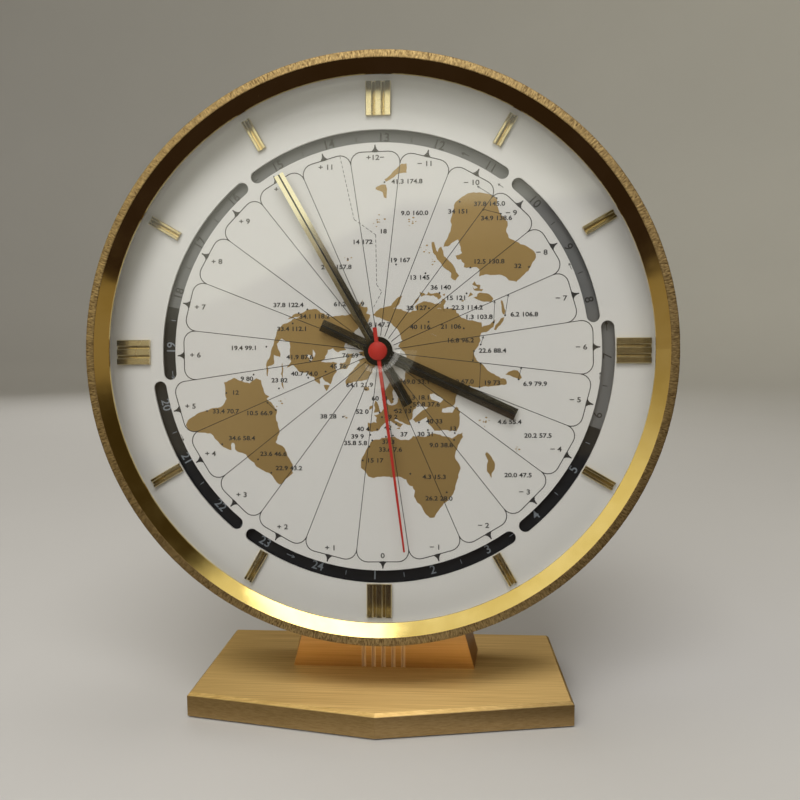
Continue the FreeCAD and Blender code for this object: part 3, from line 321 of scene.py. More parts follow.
flute_spacing = 4.6
flute_half = 0.9
flutes_end = 10.4
flute_depth = 1.0
edge_blur = 0.2
neck_brass, pen = new_finish("brushed_brass_neck")
lines = grain(pen, laid_on(pen, stretch=(18.0, 2000.0, 2000.0)), 1.0, 4.0, 0.6)
across = abs(along_axis(pen, "X"))
depth = along_axis(pen, "Y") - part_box("neck")[0][1]
# Painted highlight: the flutes and a narrow border round each are painted pale brass, standing for
# the light that their cut edges catch.
off = pen.sum("PINGPONG", across, flute_spacing / 2 * mm)
painted_flute_glint = 1 - off.step(flute_half * mm, (flute_half + edge_blur) * mm)
for reach, limit in ((across, flutes_end), (depth, flute_depth)):
    painted_flute_glint = painted_flute_glint * (1 - reach.step(limit * mm, (limit + edge_blur) * mm))
tone = lines.step(0.25, 0.75).mix((0.68, 0.42, 0.19, 1), (0.82, 0.55, 0.28, 1))
surface(pen, painted_flute_glint.mix(tone, (0.96, 0.76, 0.52, 1)), 0.34 + 0.10 * lines, 1 - 0.25 * painted_flute_glint, lines,
        0.10 * mm)
dress(neck_brass, "neck")


# Case drum: spun brass. Its outside carries a rolled bark pattern of fine irregular ridges
# that run from back to front and in over the rim; the sleeve here is that pattern's relief.

spin_joint = next(joint for joint in frame["record"]["behaviour"]["joints"]
                  if joint["name"] == "minute_spin")
dial_lean = math.asin(-spin_joint["axis"][2])
dial_place = (Matrix.Translation(spin_joint["pos_m"])
              @ Matrix.Rotation(math.pi / 2 - dial_lean, 4, "X"))
case_radius = (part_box("case_drum")[1][0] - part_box("case_drum")[0][0]) / 2 / mm
case_front = 14.0
case_back = -41.9
band_width = 3.7
crest_rise = 0.8
sleeve_wall = 0.7
bark_height = 0.20
bark_pitch = 0.52
bark_length = 1.7
bark_columns = 3000
side_rows = 17
front_rows = 9
corner_drop = 0.3
corner_inset = 0.15
hidden_lap = 0.1
tick_pitch = 0.5
ticks_per_metre = 450.0


def set_on_dial(piece):
    """Applies the dial's place to a piece's mesh, so that its object stays at the origin."""
    bpy.ops.object.select_all(action="DESELECT")
    piece.select_set(True)
    bpy.context.view_layer.objects.active = piece
    piece.matrix_world = dial_place @ piece.matrix_world
    bpy.ops.object.transform_apply(location=True, rotation=True, scale=True)


def lathe(name, profile, columns):
    """Closed ring from (radius, forward) points in millimetres, one circle drawn on by steps."""
    radius, forward = profile[0]
    bpy.ops.mesh.primitive_circle_add(vertices=columns, radius=radius * mm,
                                      location=(0, 0, forward * mm))
    ring = bpy.context.object
    ring.name = name
    bpy.ops.object.transform_apply(location=True, rotation=False, scale=False)
    bpy.ops.object.mode_set(mode="EDIT")
    bpy.ops.mesh.select_all(action="SELECT")
    for (radius, forward), (next_radius, next_forward) in zip(profile, profile[1:]):
        bpy.ops.mesh.extrude_region_move(
            TRANSFORM_OT_translate={"value": (0, 0, (next_forward - forward) * mm)})
        share = next_radius / radius
        bpy.ops.transform.resize(value=(share, share, 1), center_override=(0, 0, 0))
    bpy.ops.mesh.select_all(action="DESELECT")
    bpy.ops.mesh.select_mode(type="EDGE")
    bpy.ops.mesh.select_non_manifold()
    bpy.ops.mesh.bridge_edge_loops()
    bpy.ops.mesh.select_all(action="SELECT")
    bpy.ops.mesh.normals_make_consistent(inside=False)
    bpy.ops.object.mode_set(mode="OBJECT")
    bpy.ops.object.shade_smooth()
    return ring


side_profile = [
    (case_radius, case_back + (case_front - corner_drop - case_back) * row / side_rows)
    for row in range(side_rows + 1)]
front_profile = [
    (case_radius - corner_inset - (band_width - corner_inset) * row / front_rows,
     case_front + crest_rise * row / front_rows) for row in range(front_rows + 1)]
inside_profile = [(case_radius - band_width + hidden_lap, case_front + crest_rise - sleeve_wall),
                  (case_radius - sleeve_wall, case_front - sleeve_wall),
                  (case_radius - sleeve_wall, case_back + hidden_lap)]
bark_sleeve = lathe("bark_sleeve", side_profile + front_profile + inside_profile, bark_columns)
bark_heights = bark_sleeve.data.attributes.new("bark_height", "FLOAT", "POINT")
for number, vertex in enumerate(bark_sleeve.data.vertices):
    across, up, forward = vertex.co / mm
    radius = math.hypot(across, up)
    out = Vector((across, up, 0)) / radius
    if radius > case_radius - 0.1:
        lift, along, fade = out, forward, 1.0
    elif forward > case_front - 0.1:
        lift, along = Vector((0, 0, 1)), case_front + case_radius - radius
        fade = min(1.0, (radius - case_radius + band_width) / 0.7)
    else:
        continue
    spot = out * (case_radius / bark_pitch)
    wander = 0.9 * noise.noise(Vector((out.x * 60, out.y * 60, along / 5)))
    spot.z = along / bark_length + wander
    ridge = 1 - 2 * abs(noise.noise(spot))
    fleck = noise.noise(Vector((spot.x * 2.1, spot.y * 2.1, spot.z * 2.7)))
    height = max(0.0, min(1.0, 0.18 + 0.62 * ridge + 0.35 * fleck)) * fade
    bark_heights.data[number].value = height
    vertex.co += lift * (0.03 + bark_height * height) * mm

bark_brass, pen = new_finish("bark_brass")
height = pen.node("Attribute", {"attribute_name": "bark_height"}, output="Fac")
across, up, forward = (along_axis(pen, axis, dial_place) for axis in "XYZ")
reach = (across * across + up * up) ** 0.5
tick_count = case_radius / tick_pitch
spot = pen.node("CombineXYZ", {}, {0: across / reach * tick_count, 1: up / reach * tick_count,
                                   2: (forward - reach) * ticks_per_metre})
ticks = grain(pen, spot, 1.0, 2.0, 0.5).step(0.34, 0.66)
tone = (height.step(0.05, 0.70) * 0.45 + ticks * 0.55).mix((0.20, 0.125, 0.055, 1),
                                                           (0.64, 0.48, 0.23, 1))
surface(pen, tone, 0.72 - 0.10 * height, 1.0, ticks, 0.07 * mm)
bark_sleeve.data.materials.append(bark_brass)
set_on_dial(bark_sleeve)
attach(bark_sleeve, "case")
dress(bark_brass, "case_drum")


# Polished ring inside the rim, whose cone slopes in to the glass: turned brass under
# clear lacquer, with the faint ripples that polishing leaves.

def polished(name, deep, light, smooth=0.07, rough=0.15, matrix=Matrix()):
    """Mirror-polished brass with faint ripples and wiped smudges."""
    material, pen = new_finish(name)
    smudge = grain(pen, laid_on(pen, matrix), 45.0, 3.0, 0.6)
    ripple = grain(pen, laid_on(pen, matrix), 110.0, 1.0)
    surface(pen, smudge.step(0.3, 0.7).mix(deep, light),
            smooth + (rough - smooth) * smudge.step(0.4, 0.75), 1.0, ripple, 0.02 * mm)
    return material


cone_brass = polished("polished_brass_cone", (0.74, 0.56, 0.20, 1), (0.84, 0.66, 0.28, 1))
dress(cone_brass, "bezel_ring")


# Glass: a shallow dome clamped between the ring's nose and a rubber gasket, which rests
# on a white spacer ring round the dial.

lens_pole = 6.0
glass, pen = new_finish("clear_glass")
slope = pen.node("LayerWeight", {}, {"Blend": 0.5}, "Facing")
mirror = pen.node("BsdfGlossy", {}, {"Color": (1, 1, 1, 1), "Roughness": 0.02})
clear = pen.node("BsdfTransparent", {}, {"Color": (0.985, 0.99, 0.99, 1)})
across, up = (along_axis(pen, axis, dial_place) for axis in "XY")
reach = (across * across + up * up) ** 0.5
share = (0.04 + 0.96 * slope ** 5.0) * reach.step(lens_pole * mm, 1.5 * lens_pole * mm)
lens = pen.node("MixShader", {}, {0: share, 1: clear, 2: mirror})
pen.node("OutputMaterial", {}, {"Surface": lens})
dress(glass, "glass_lens")

rubber = speckled("black_rubber", (0.012, 0.012, 0.012, 1), (0.035, 0.035, 0.035, 1), 0.8, 0.03,
                  1500.0, 3.0)
dress(rubber, "glass_gasket")

ring_lacquer = speckled("spacer_white", (0.70, 0.69, 0.67, 1), (0.76, 0.75, 0.73, 1), 0.42, 0.01,
                        700.0, 3.0)
dress(ring_lacquer, "spacer_ring")


# Dial: an aluminium disc in warm white satin lacquer, with six curved windows cut through
# it. Everything on it is screen-printed, so each print is a thin layer just above it.

dial_lacquer, pen = new_finish("dial_lacquer")
specks = grain(pen, laid_on(pen), 1200.0, 3.0)
cloud = grain(pen, laid_on(pen), 14.0, 2.0)
surface(pen, (specks * 0.5 + cloud * 0.5).mix((0.70, 0.69, 0.675, 1), (0.74, 0.73, 0.715, 1)),
        0.34 + 0.08 * cloud, 0.0, specks, 0.004 * mm)
dress(dial_lacquer, "dial_plate")

ink_thickness = 0.02
land_level = 0.02
line_level = 0.05
mark_level = 0.07
inner_edge = 86.8
outer_edge = 92.4
pointer_height = 3.0
zone_step = 15.0
zone_turn = -0.95
zone_corner = 4.8
corner_steps = 6
pole_gap = 7.0
head_width = 0.38
separator_width = 0.28


def polar(radius, turn):
    """(across, up) in millimetres at an angle in degrees clockwise from twelve."""
    return radius * math.sin(math.radians(turn)), radius * math.cos(math.radians(turn))


def print_shapes(name, outlines, level, material, body="case"):
    """Flat shapes printed as one thin layer, each a face with as many corners as its outline."""
    shapes = []
    for outline in outlines:
        bpy.ops.mesh.primitive_circle_add(vertices=len(outline), radius=mm, fill_type="NGON")
        for vertex, (across, up) in zip(bpy.context.object.data.vertices, outline):
            vertex.co = (across * mm, up * mm, (level - ink_thickness) * mm)
        shapes.append(bpy.context.object)
    for shape in shapes:
        shape.select_set(True)
    bpy.ops.object.join()
    bpy.ops.object.mode_set(mode="EDIT")
    bpy.ops.mesh.select_all(action="SELECT")
    bpy.ops.mesh.quads_convert_to_tris(ngon_method="BEAUTY")
    bpy.ops.mesh.extrude_region_move(
        TRANSFORM_OT_translate={"value": (0, 0, 2 * ink_thickness * mm)})
    bpy.ops.object.mode_set(mode="OBJECT")
    return close_print(bpy.context.object, name, material, body)


def print_lines(name, lines, width, level, material, body="case"):
    """Thin printed lines through lists of (across, up) points, with rounded sides."""
    curve = bpy.data.curves.new(name, "CURVE")
    curve.dimensions = "3D"
    curve.bevel_depth = width / 2 * mm
    curve.bevel_resolution = 1
    curve.use_fill_caps = True
    for line in lines:
        spline = curve.splines.new("POLY")
        spline.points.add(len(line) - 1)
        for point, (across, up) in zip(spline.points, line):
            point.co = (across * mm, up * mm, 0, 1)
    piece = bpy.data.objects.new(name, curve)
    bpy.context.collection.objects.link(piece)
    bpy.ops.object.select_all(action="DESELECT")
    piece.select_set(True)
    bpy.context.view_layer.objects.active = piece
    bpy.ops.object.convert(target="MESH")
    piece = bpy.context.object
    piece.scale = (1, 1, ink_thickness * 2 / width)
    piece.location = (0, 0, level * mm)
    return close_print(piece, name, material, body)


def close_print(piece, name, material, body):
    """Welds a print's walls, turns its faces outwards, and fixes it to its body."""
    piece.name = name
    bpy.ops.object.transform_apply(location=True, rotation=True, scale=True)
    bpy.ops.object.mode_set(mode="EDIT")
    bpy.ops.mesh.select_all(action="SELECT")
    bpy.ops.mesh.remove_doubles(threshold=0.0005 * mm)
    bpy.ops.mesh.normals_make_consistent(inside=False)
    bpy.ops.object.mode_set(mode="OBJECT")
    piece.data.materials.clear()
    piece.data.materials.append(material)
    set_on_dial(piece)
    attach(piece, body)
    return piece


def print_numbers(name, labels, height, level, material, body="case",
                  widen=1.0, weight=0.0):
    """Printed numbers: (text, across, up, turn clockwise) for each, all of one height."""
    cap_share = 0.73
    bpy.ops.object.select_all(action="DESELECT")
    texts = []
    for words, across, up, turn in labels:
        bpy.ops.object.text_add(location=(across * mm, up * mm, level * mm),
                                rotation=(0, 0, -math.radians(turn)))
        text = bpy.context.object
        text.data.body = words
        text.data.size = height / cap_share * mm
        text.data.align_x = "CENTER"
        text.data.align_y = "CENTER"
        text.data.resolution_u = 4
        text.data.offset = weight * mm
        text.data.extrude = ink_thickness * mm
        text.scale = (widen, 1, 1)
        texts.append(text)
    for text in texts:
        text.select_set(True)
    bpy.ops.object.convert(target="MESH")
    bpy.ops.object.join()
    return close_print(bpy.context.object, name, material, body)


black_ink = speckled("black_print", (0.018, 0.017, 0.018, 1), (0.045, 0.042, 0.042, 1), 0.5,
                     0.004, 2500.0)

# Zone lines: 24 petals, one for each hour of difference, turned a little against the markers.
# Thin dark separators run out from the pole; a petal's head is straight with rounded corners.

def zone_edge(zone):
    """Distance of a petal's head from the middle; zone counts clockwise from the top."""
    return inner_edge if zone < 6 or zone > 17 else outer_edge


def turned(points, zone):
    """A shape that is drawn at twelve, turned to a zone."""
    turn = math.radians(zone * zone_step + zone_turn)
    return [(across * math.cos(turn) + up * math.sin(turn),
             up * math.cos(turn) - across * math.sin(turn)) for across, up in points]


def petal_head(zone):
    """Line along a petal's head: up one separator, round the corner, across and back."""
    edge = zone_edge(zone)
    half = math.radians(zone_step / 2)
    reach = edge * math.tan(half)
    tangent = zone_corner / math.tan((math.pi / 2 - half) / 2)
    corner_across = reach - tangent
    right = []
    for step in range(corner_steps + 1):
        sweep_angle = (math.pi / 2 + half) * step / corner_steps
        right.append((corner_across + zone_corner * math.cos(sweep_angle - half),
                      edge - zone_corner + zone_corner * math.sin(sweep_angle - half)))
    left = [(-across, up) for across, up in reversed(right)]
    return turned(right + left, zone)


def cusp(zone):
    """Radius at which a petal's corner leaves the separator."""
    half = math.radians(zone_step / 2)
    return zone_edge(zone) / math.cos(half) - zone_corner / math.tan((math.pi / 2 - half) / 2)


separators = []
for zone in range(24):
    turn = (zone + 0.5) * zone_step + zone_turn
    far = max(cusp(zone), cusp((zone + 1) % 24))
    separators.append([polar(pole_gap, turn), polar(far / 2, turn), polar(far, turn)])
heads = [petal_head(zone) for zone in range(24)]
print_lines("zone_separators", separators, separator_width, line_level, black_ink)
print_lines("zone_heads", heads, head_width, line_level, black_ink)

# Zone pointers: small black triangles with hollow sides, printed on the petals' heads. Their
# blunt tips point at the hour ring.

pointer_shape = ((-2.3, -0.15), (-1.4, 0.35), (-0.8, 1.0), (-0.4, 1.9), (-0.22, pointer_height),
                 (0.22, pointer_height), (0.4, 1.9), (0.8, 1.0), (1.4, 0.35), (2.3, -0.15),
                 (0.0, -0.3))
pointers = [turned([(across, up + zone_edge(zone)) for across, up in pointer_shape], zone)
            for zone in range(24)]
print_shapes("zone_pointers", pointers, mark_level, black_ink)

# Zone numbers: hours of difference in dark grey ink, all upright. Each stands just inside its
# pointer, and a little further in where its petal lies on its side.

grey_ink = speckled("grey_print", (0.05, 0.048, 0.048, 1), (0.10, 0.095, 0.09, 1), 0.5, 0.004,
                    2500.0)
zone_number_height = 2.25
label_inset = 2.6
side_inset = 2.4
zone_labels = []
for zone in range(24):
    turn = zone * zone_step + zone_turn
    ahead = 12 - zone if zone <= 12 else zone - 12
    words = "0" if ahead == 0 else ("− " if zone < 12 else "+ ") + str(ahead)
    if zone == 0:
        words = "+12−"
    label_radius = zone_edge(zone) - label_inset - side_inset * abs(math.sin(math.radians(turn)))
    zone_labels.append((words, *polar(label_radius, turn), 0.0))
print_numbers("zone_numbers", zone_labels, zone_number_height, mark_level, grey_ink, widen=1.2,
              weight=0.06)

# Map: the lands drawn flat about the north pole in dull gold ink, with the longitude of the
# zero zone straight down. Latitudes are spaced as on the dial, closer to the pole than beyond.
# A fixed seed keeps the small bays and capes of the coasts the same in every run.

noise.seed_set(24)
map_latitudes = (90, 60, 40, 20, 0, -20, -35, -55)
map_radii = (0.0, 20.6, 33.4, 44.5, 54.7, 66.3, 76.1, 91.7)


def on_map(latitude, longitude):
    """(across, up) of a place on the map, in millimetres."""
    for number in range(len(map_latitudes) - 1):
        north, south = map_latitudes[number], map_latitudes[number + 1]
        if latitude >= south:
            break
    share = (north - latitude) / (north - south)
    radius = map_radii[number] + share * (map_radii[number + 1] - map_radii[number])
    return polar(radius, 180 - longitude)


africa = (
    (30, -4), (32, 5), (32, 10.5), (28.5, 13.5), (26.5, 18.5), (28.5, 22), (24, 28), (23.5, 33),
    (20, 35.5), (14, 38.5), (10, 40), (9.5, 42.5), (7.5, 46), (4.5, 44.5), (3, 41.5),
    (-0.5, 37.5), (-4.5, 35.5), (-8, 35.5), (-13, 35), (-15, 33.5), (-18.5, 31.5), (-22, 29.5),
    (-26, 27.5), (-28, 25), (-29, 23), (-31.5, 21), (-33.5, 19.5), (-35.5, 18.5), (-35, 17),
    (-32, 16), (-28, 15.5), (-24.5, 15), (-21.5, 14), (-18.5, 13.5), (-14, 14.5), (-10.5, 14),
    (-8.5, 12.5), (-4.5, 12), (-2, 10), (-1, 6.5), (-0.5, 3.5), (-0.5, 0.5), (-1.5, -2.5),
    (-0.5, -5), (3, -6.5), (6, -9), (12, -9.5), (15.5, -9), (19.5, -8), (24.5, -6.5), (28, -5.5))
madagascar = (
    (-16.5, 46), (-16.5, 47), (-19.5, 47), (-23, 46.5), (-26, 46), (-28.5, 44.5), (-29, 43.5),
    (-31.5, 41.5), (-28.5, 42), (-26, 42), (-23, 43.5), (-21.5, 45), (-18.5, 45.5))
eurasia = (
    (37, -9), (43, -9), (43.5, -2), (47, -2), (48.5, -4.5), (49.5, 0), (51, 2.5), (53.5, 6.5),
    (57, 8.5), (55, 10.5), (54.2, 14), (54.6, 19), (57.5, 22), (59.4, 24), (60, 29.5), (60, 23),
    (63, 21.5), (65.6, 24.5), (63, 18.5), (60, 17.4), (56, 16), (55.5, 13), (59, 11), (58, 7),
    (62, 5), (67, 14), (71, 25), (69, 32), (67.5, 41), (65, 39), (66, 44), (69, 55), (68.5, 67),
    (73, 70), (72, 80), (76, 98), (77.3, 105), (73.5, 113), (72.5, 130), (71.5, 140), (70, 160),
    (69, 176), (66.5, -170), (64.5, -176), (62.5, 178), (60, 165), (56, 162.5), (51, 157),
    (57, 156.5), (61.5, 162), (59.5, 152), (59, 143), (54, 137), (53, 141), (46.5, 138),
    (43, 132), (39.5, 127.5), (35.5, 129.4), (34.5, 126.5), (38, 125), (39.5, 122), (39, 118),
    (40, 121), (41, 125), (43.5, 126), (37, 122), (31.5, 118), (31, 113.5), (26, 109),
    (16.5, 105.5), (17, 103), (9.5, 103.5), (4.5, 105), (6.5, 103), (12, 100.5), (18.5, 100),
    (20.5, 97.5), (20, 96), (22, 93), (26, 89.5), (23, 84.5), (17.5, 82.5), (11.5, 79.5),
    (2.5, 78), (-3, 77.5), (-4.5, 75.5), (5.5, 73), (17, 70), (25, 69), (26, 67.5), (30, 60.5),
    (28, 56.5), (28, 53), (33, 48), (31.5, 46), (25, 50), (25.5, 54.5), (20.5, 53.5),
    (16.5, 49.5), (13.5, 47), (12, 44), (19.5, 40), (24, 35), (28, 35), (31.2, 34.3), (36.3, 36),
    (36.5, 30.5), (37, 27.5), (40.3, 26.6), (41, 29), (42, 35), (41.5, 41.5), (45, 37),
    (47, 38.5), (46, 31), (43, 28), (40.9, 26), (40.4, 23), (37, 23), (40, 19.5), (45.4, 13.6),
    (43.8, 12.8), (41.5, 16), (40, 18.4), (38.2, 16), (41, 13.5), (44, 9.5), (43.2, 5),
    (41.5, 2.5), (37.5, -1), (36.5, -5))
caspian = ((46.8, 50), (44, 47.6), (40, 49.5), (37.3, 50), (37, 53.7), (41, 53), (45, 52.6))
baikal = ((55.5, 109.5), (52, 105.5), (51.6, 104.5), (53.5, 107.5))
north_america = (
    (66, -167), (71.2, -156.5), (69.7, -141), (70, -128), (68.2, -114), (68, -108), (67.6, -97),
    (69, -93), (64, -89), (60.5, -94.5), (57, -92), (55, -83), (51.6, -80), (55, -78.5),
    (60, -77.5), (62.3, -75), (60, -69.5), (60.3, -65), (56, -61), (52, -56), (50, -61),
    (49.5, -66), (47, -65), (45.6, -61.5), (43.6, -66), (44.4, -68.5), (42, -70.5), (40.6, -74),
    (35.2, -75.6), (31, -81.3), (25.5, -80.3), (30, -84), (29.3, -90), (28.5, -96.5), (22, -97.8),
    (18.5, -94.5), (21, -90.3), (21.3, -87), (16, -88.5), (15.6, -83.5), (9.6, -82.5),
    (9.3, -79.6), (8.4, -77.6), (7.6, -78.4), (8.2, -80.3), (8.6, -83.2), (12.6, -87.6),
    (15.8, -95), (17, -101), (20.3, -105.6), (25, -108.3), (31, -113.3), (31.4, -114.7),
    (27, -111.4), (23.2, -109.7), (27.5, -114.6), (32.5, -117.2), (34.5, -120.6), (40.3, -124.3),
    (48, -124.6), (50.4, -125), (54.5, -130.5), (58.5, -137), (60, -144), (60.8, -150),
    (57.5, -155.5), (54.8, -163), (58.7, -158), (60.6, -165.2), (63, -164.5), (64.4, -161.5))
great_lakes = (
    ((46.7, -92), (48.5, -88.5), (47.2, -84.8), (46.5, -87.5)), ((45.9, -86.5), (45.9, -83),
    (43.2, -81.6), (44.6, -84.2), (41.8, -87.2), (43, -87.9)))
slave_lake = ((63, -116), (62.6, -110), (61.2, -114))
greenland = (
    (76.2, -69), (75.8, -60), (70, -54.5), (66.5, -53.5), (61, -48), (60, -44), (65, -40),
    (68, -31), (70.5, -23), (75, -19), (81, -14), (83.4, -33), (82.2, -58), (79, -66))
baffin = (
    (73.4, -86), (73, -78), (70, -68), (66.7, -62), (62.3, -65.5), (64.3, -74), (67.5, -73),
    (70, -86))
ellesmere = ((77, -88), (79, -76), (83, -66), (82, -88))
victoria = ((72.8, -118), (73, -106), (69.2, -102), (69, -115))
south_america = (
    (-26, -79), (-21, -79.5), (-18.5, -80), (-14.5, -78.5), (-9, -77), (-7.5, -76.5), (-6, -77),
    (-1.5, -78), (2, -76.5), (1.5, -74.5), (1.5, -71.5), (2, -69.5), (4.5, -68), (1.5, -67.5),
    (2, -66.5), (4, -65), (4.5, -62), (5.5, -60.5), (2, -58.5), (0, -56.5), (-1.5, -53.5),
    (-3.5, -51), (-8, -49.5), (-10.5, -49), (-8.5, -46), (-9.5, -43.5), (-11.5, -41.5),
    (-13, -39), (-15.5, -37), (-19, -35.5), (-22.5, -36), (-25.5, -36.5), (-29.5, -36.5),
    (-31, -38), (-30, -40), (-29.5, -42.5), (-31, -44.5), (-32.5, -47), (-32.5, -49.5),
    (-33, -52), (-32.5, -52.5), (-36, -55), (-36.5, -56), (-35, -58), (-36, -58.5),
    (-38.5, -56.5), (-40, -57.5), (-42, -59.5), (-42.5, -61), (-43.5, -62.5), (-44.5, -64.5),
    (-48, -65.5), (-51.5, -66.5), (-54.5, -67.5), (-55.5, -69), (-55.5, -69.5), (-53.5, -70.5),
    (-50, -71), (-46, -71.5), (-41.5, -71.5), (-37.5, -71.5), (-32.5, -71), (-29, -72),
    (-27, -73), (-27, -75), (-26, -77))
australia = (
    (-27, 152.5), (-30, 152.5), (-32, 152), (-34.5, 151.5), (-37.5, 150.5), (-40, 149),
    (-41.5, 147.5), (-43, 145.5), (-44, 143.5), (-44.5, 142), (-43, 141.5), (-41.5, 141),
    (-40, 139.5), (-39, 138.5), (-39, 136.5), (-38.5, 135), (-37, 134), (-34, 133), (-32.5, 131),
    (-34.5, 128.5), (-37, 126), (-38.5, 124), (-39.5, 122.5), (-39.5, 121.5), (-38.5, 120.5),
    (-37, 120), (-35, 119.5), (-32, 118.5), (-29, 118), (-26.5, 117.5), (-23.5, 117),
    (-20.5, 116.5), (-18.5, 117.5), (-16, 118.5), (-15.5, 120), (-13.5, 121.5), (-9.5, 123),
    (-6.5, 124), (-4, 125.5), (1, 126.5), (-1.5, 128), (-2.5, 129), (-2, 130.5), (2, 132),
    (5.5, 134.5), (3, 135.5), (2.5, 138), (4.5, 139.5), (3, 141), (0.5, 140), (-2, 139.5),
    (-4.5, 141.5), (-7, 143.5), (-8, 144.5), (-4.5, 145.5), (0.5, 146.5), (3, 148), (0, 148.5),
    (-4, 148.5), (-8, 149), (-12.5, 149.5), (-16.5, 151), (-21, 151.5), (-24.5, 152))
islands = {
    "new_zealand_north": (
        (-43, 171.5), (-38, 171), (-37, 173.5), (-34, 175.5), (-31.5, 177.5), (-33, 178),
        (-36, 176), (-38.5, 175), (-42.5, 173)),
    "new_zealand_south": (
        (-29.5, 177.5), (-25, 177), (-20.5, 177), (-21, 178), (-24.5, 178.5), (-26.5, -179),
        (-27.5, -179), (-29.5, 179)),
    "new_guinea": (
        (4, 154), (3, 153), (5, 152), (8.5, 150), (9, 149), (5.5, 149.5), (3.5, 149), (6, 147),
        (9, 145.5), (9.5, 143), (10, 140), (11, 138), (13, 135.5), (13.5, 133), (15.5, 133),
        (18.5, 132.5), (19.5, 134), (19.5, 135.5), (16.5, 137), (16.5, 139), (17, 142),
        (15.5, 144.5), (14.5, 147.5), (12.5, 149), (11.5, 151), (8.5, 152.5)),
    "borneo": (
        (14.5, 119.5), (11.5, 119), (10, 120), (8, 120), (3, 118), (1.5, 117), (0.5, 115.5),
        (0, 114.5), (2.5, 113.5), (6, 114.5), (9.5, 115.5), (12.5, 117.5)),
    "sumatra": (
        (7.5, 100.5), (5.5, 102.5), (1.5, 104), (-0.5, 105), (-3, 105), (-1.5, 103.5), (1.5, 102),
        (4.5, 101), (6, 100)),
    "java": (
        (-4.5, 112.5), (-5.5, 112), (-5, 109.5), (-5, 107.5), (-3.5, 106), (-2.5, 106.5),
        (-3, 109.5)),
    "sulawesi": (
        (9.5, 125), (10.5, 123), (7.5, 122.5), (6.5, 124), (4, 123), (5.5, 122), (6.5, 121.5),
        (4, 120.5), (6, 120), (10.5, 122), (11, 123)),
    "luzon": ((18.4, 121), (14.5, 122.6), (13.6, 120.8)),
    "mindanao": ((9.6, 125.4), (6.4, 126), (7, 122.4)),
    "formosa": ((25.2, 121.6), (22.1, 120.9), (23.6, 120.2)),
    "hokkaido": ((45.2, 142), (43.2, 145.4), (42, 142), (42.4, 140.2)),
    "honshu": (
        (43.5, 141.5), (41.5, 139.5), (39.5, 140), (39.5, 138), (35.5, 135), (34.5, 133.5),
        (35, 131), (36.5, 130.5), (38.5, 131), (38, 132.5), (39, 135.5), (41.5, 138.5)),
    "kyushu": ((33.6, 131.4), (31.2, 131), (32.8, 129.8)),
    "sakhalin": ((54, 142.8), (49, 144.2), (46.2, 143), (50, 142.2)),
    "ceylon": (
        (-2, 79.5), (-4, 81), (-7.5, 82), (-10.5, 82), (-12.5, 81), (-14.5, 79.5), (-13, 78.5),
        (-8.5, 79), (-5.5, 79.5)),
    "britain": (
        (58.5, -4.5), (57.6, -2), (53.4, 0.2), (51.2, 1.2), (50.2, -5), (53.4, -4), (55.6, -5.4)),
    "ireland": ((55.1, -7), (53.4, -6.2), (51.7, -9.6), (54, -9.8)),
    "iceland": ((66.3, -16), (64.6, -14), (63.5, -18.6), (64, -22.4), (66, -23)),
    "cuba": ((22.9, -83.6), (22.8, -80), (20.2, -74.4), (20.1, -77.4), (21.8, -81.4)),
    "hispaniola": ((19.8, -73), (18.7, -68.6), (18.1, -72)),
    "newfoundland": ((51.3, -55.8), (47, -53.2), (47.8, -59.1)),
    "novaya": ((76.5, 66), (72.5, 57), (71, 53), (74.5, 56)),
    "sicily": ((38.1, 15.5), (36.8, 15), (37.9, 12.6)),
    "sardinia": ((41, 9.6), (39.1, 9.3), (40.6, 8.3)),
}
islet_groups = (
    (0.1, 56.8, 8, 3.0), (14.3, 56.1, 7, 2.4), (-13.5, 40.4, 4, 2.0), (46.0, -30.6, 8, 2.4),
    (60.2, -42.4, 4, 1.6), (-15.0, -28.4, 3, 1.0), (-43.6, -22.3, 5, 3.0), (20.1, 43.8, 5, 2.6),
    (23.8, 38.8, 4, 1.6))


def islets(across, up, count, spread):
    """Small lumps of land in a loose ring about a place on the dial."""
    lumps = []
    for number in range(count):
        turn = 360.0 * number / count + 25 * math.sin(5 * number + across)
        reach = spread * (0.55 + 0.35 * math.cos(3 * number + up))
        aside, above = polar(reach, turn)
        size = 0.30 + 0.12 * math.sin(4 * number + across)
        lumps.append([(across + aside + size * (1.3 + 0.3 * math.sin(corner)) * math.cos(corner),
                       up + above + size * (1 + 0.2 * math.cos(2 * corner)) * math.sin(corner))
                      for corner in (math.radians(step * 60) for step in range(6))])
    return lumps


def coast(points, roughness=0.42):
    """Shoreline through places on the map, with small bays and capes between them."""
    line = []
    corners = [on_map(*place) for place in points]
    for (across, up), (next_across, next_up) in zip(corners, corners[1:] + corners[:1]):
        length = math.hypot(next_across - across, next_up - up)
        pieces = max(1, round(length / 1.1))
        for piece in range(pieces):
            share = piece / pieces
            swing = roughness * math.sin(math.pi * share) * min(1.0, length / 3)
            spot = Vector((across + share * (next_across - across),
                           up + share * (next_up - up), 0))
            shake = noise.noise_vector(spot * 0.75) * swing * 2
            line.append((spot.x + shake.x, spot.y + shake.y))
    return line


gold_ink = speckled("gold_land_print", (0.36, 0.235, 0.085, 1), (0.47, 0.32, 0.13, 1), 0.42, 0.006,
                    3000.0, 2.0, 0.7, metallic=0.45)
continents = (africa, madagascar, eurasia, north_america, greenland, baffin, ellesmere, victoria,
              south_america, australia)
lands = [coast(shore) for shore in continents]
lands += [coast(shore, 0.25) for shore in islands.values()]
for group in islet_groups:
    lands += islets(*group)
print_shapes("land_print", lands, land_level, gold_ink)
lakes = [coast(shore, 0.2) for shore in (caspian, baikal, *great_lakes, slave_lake)]
print_shapes("lake_print", lakes, land_level + ink_thickness, dial_lacquer)

# Date line: a thin dashed line in the zone numbers' grey ink, down from the top of the map,
# with the steps it has at sea.

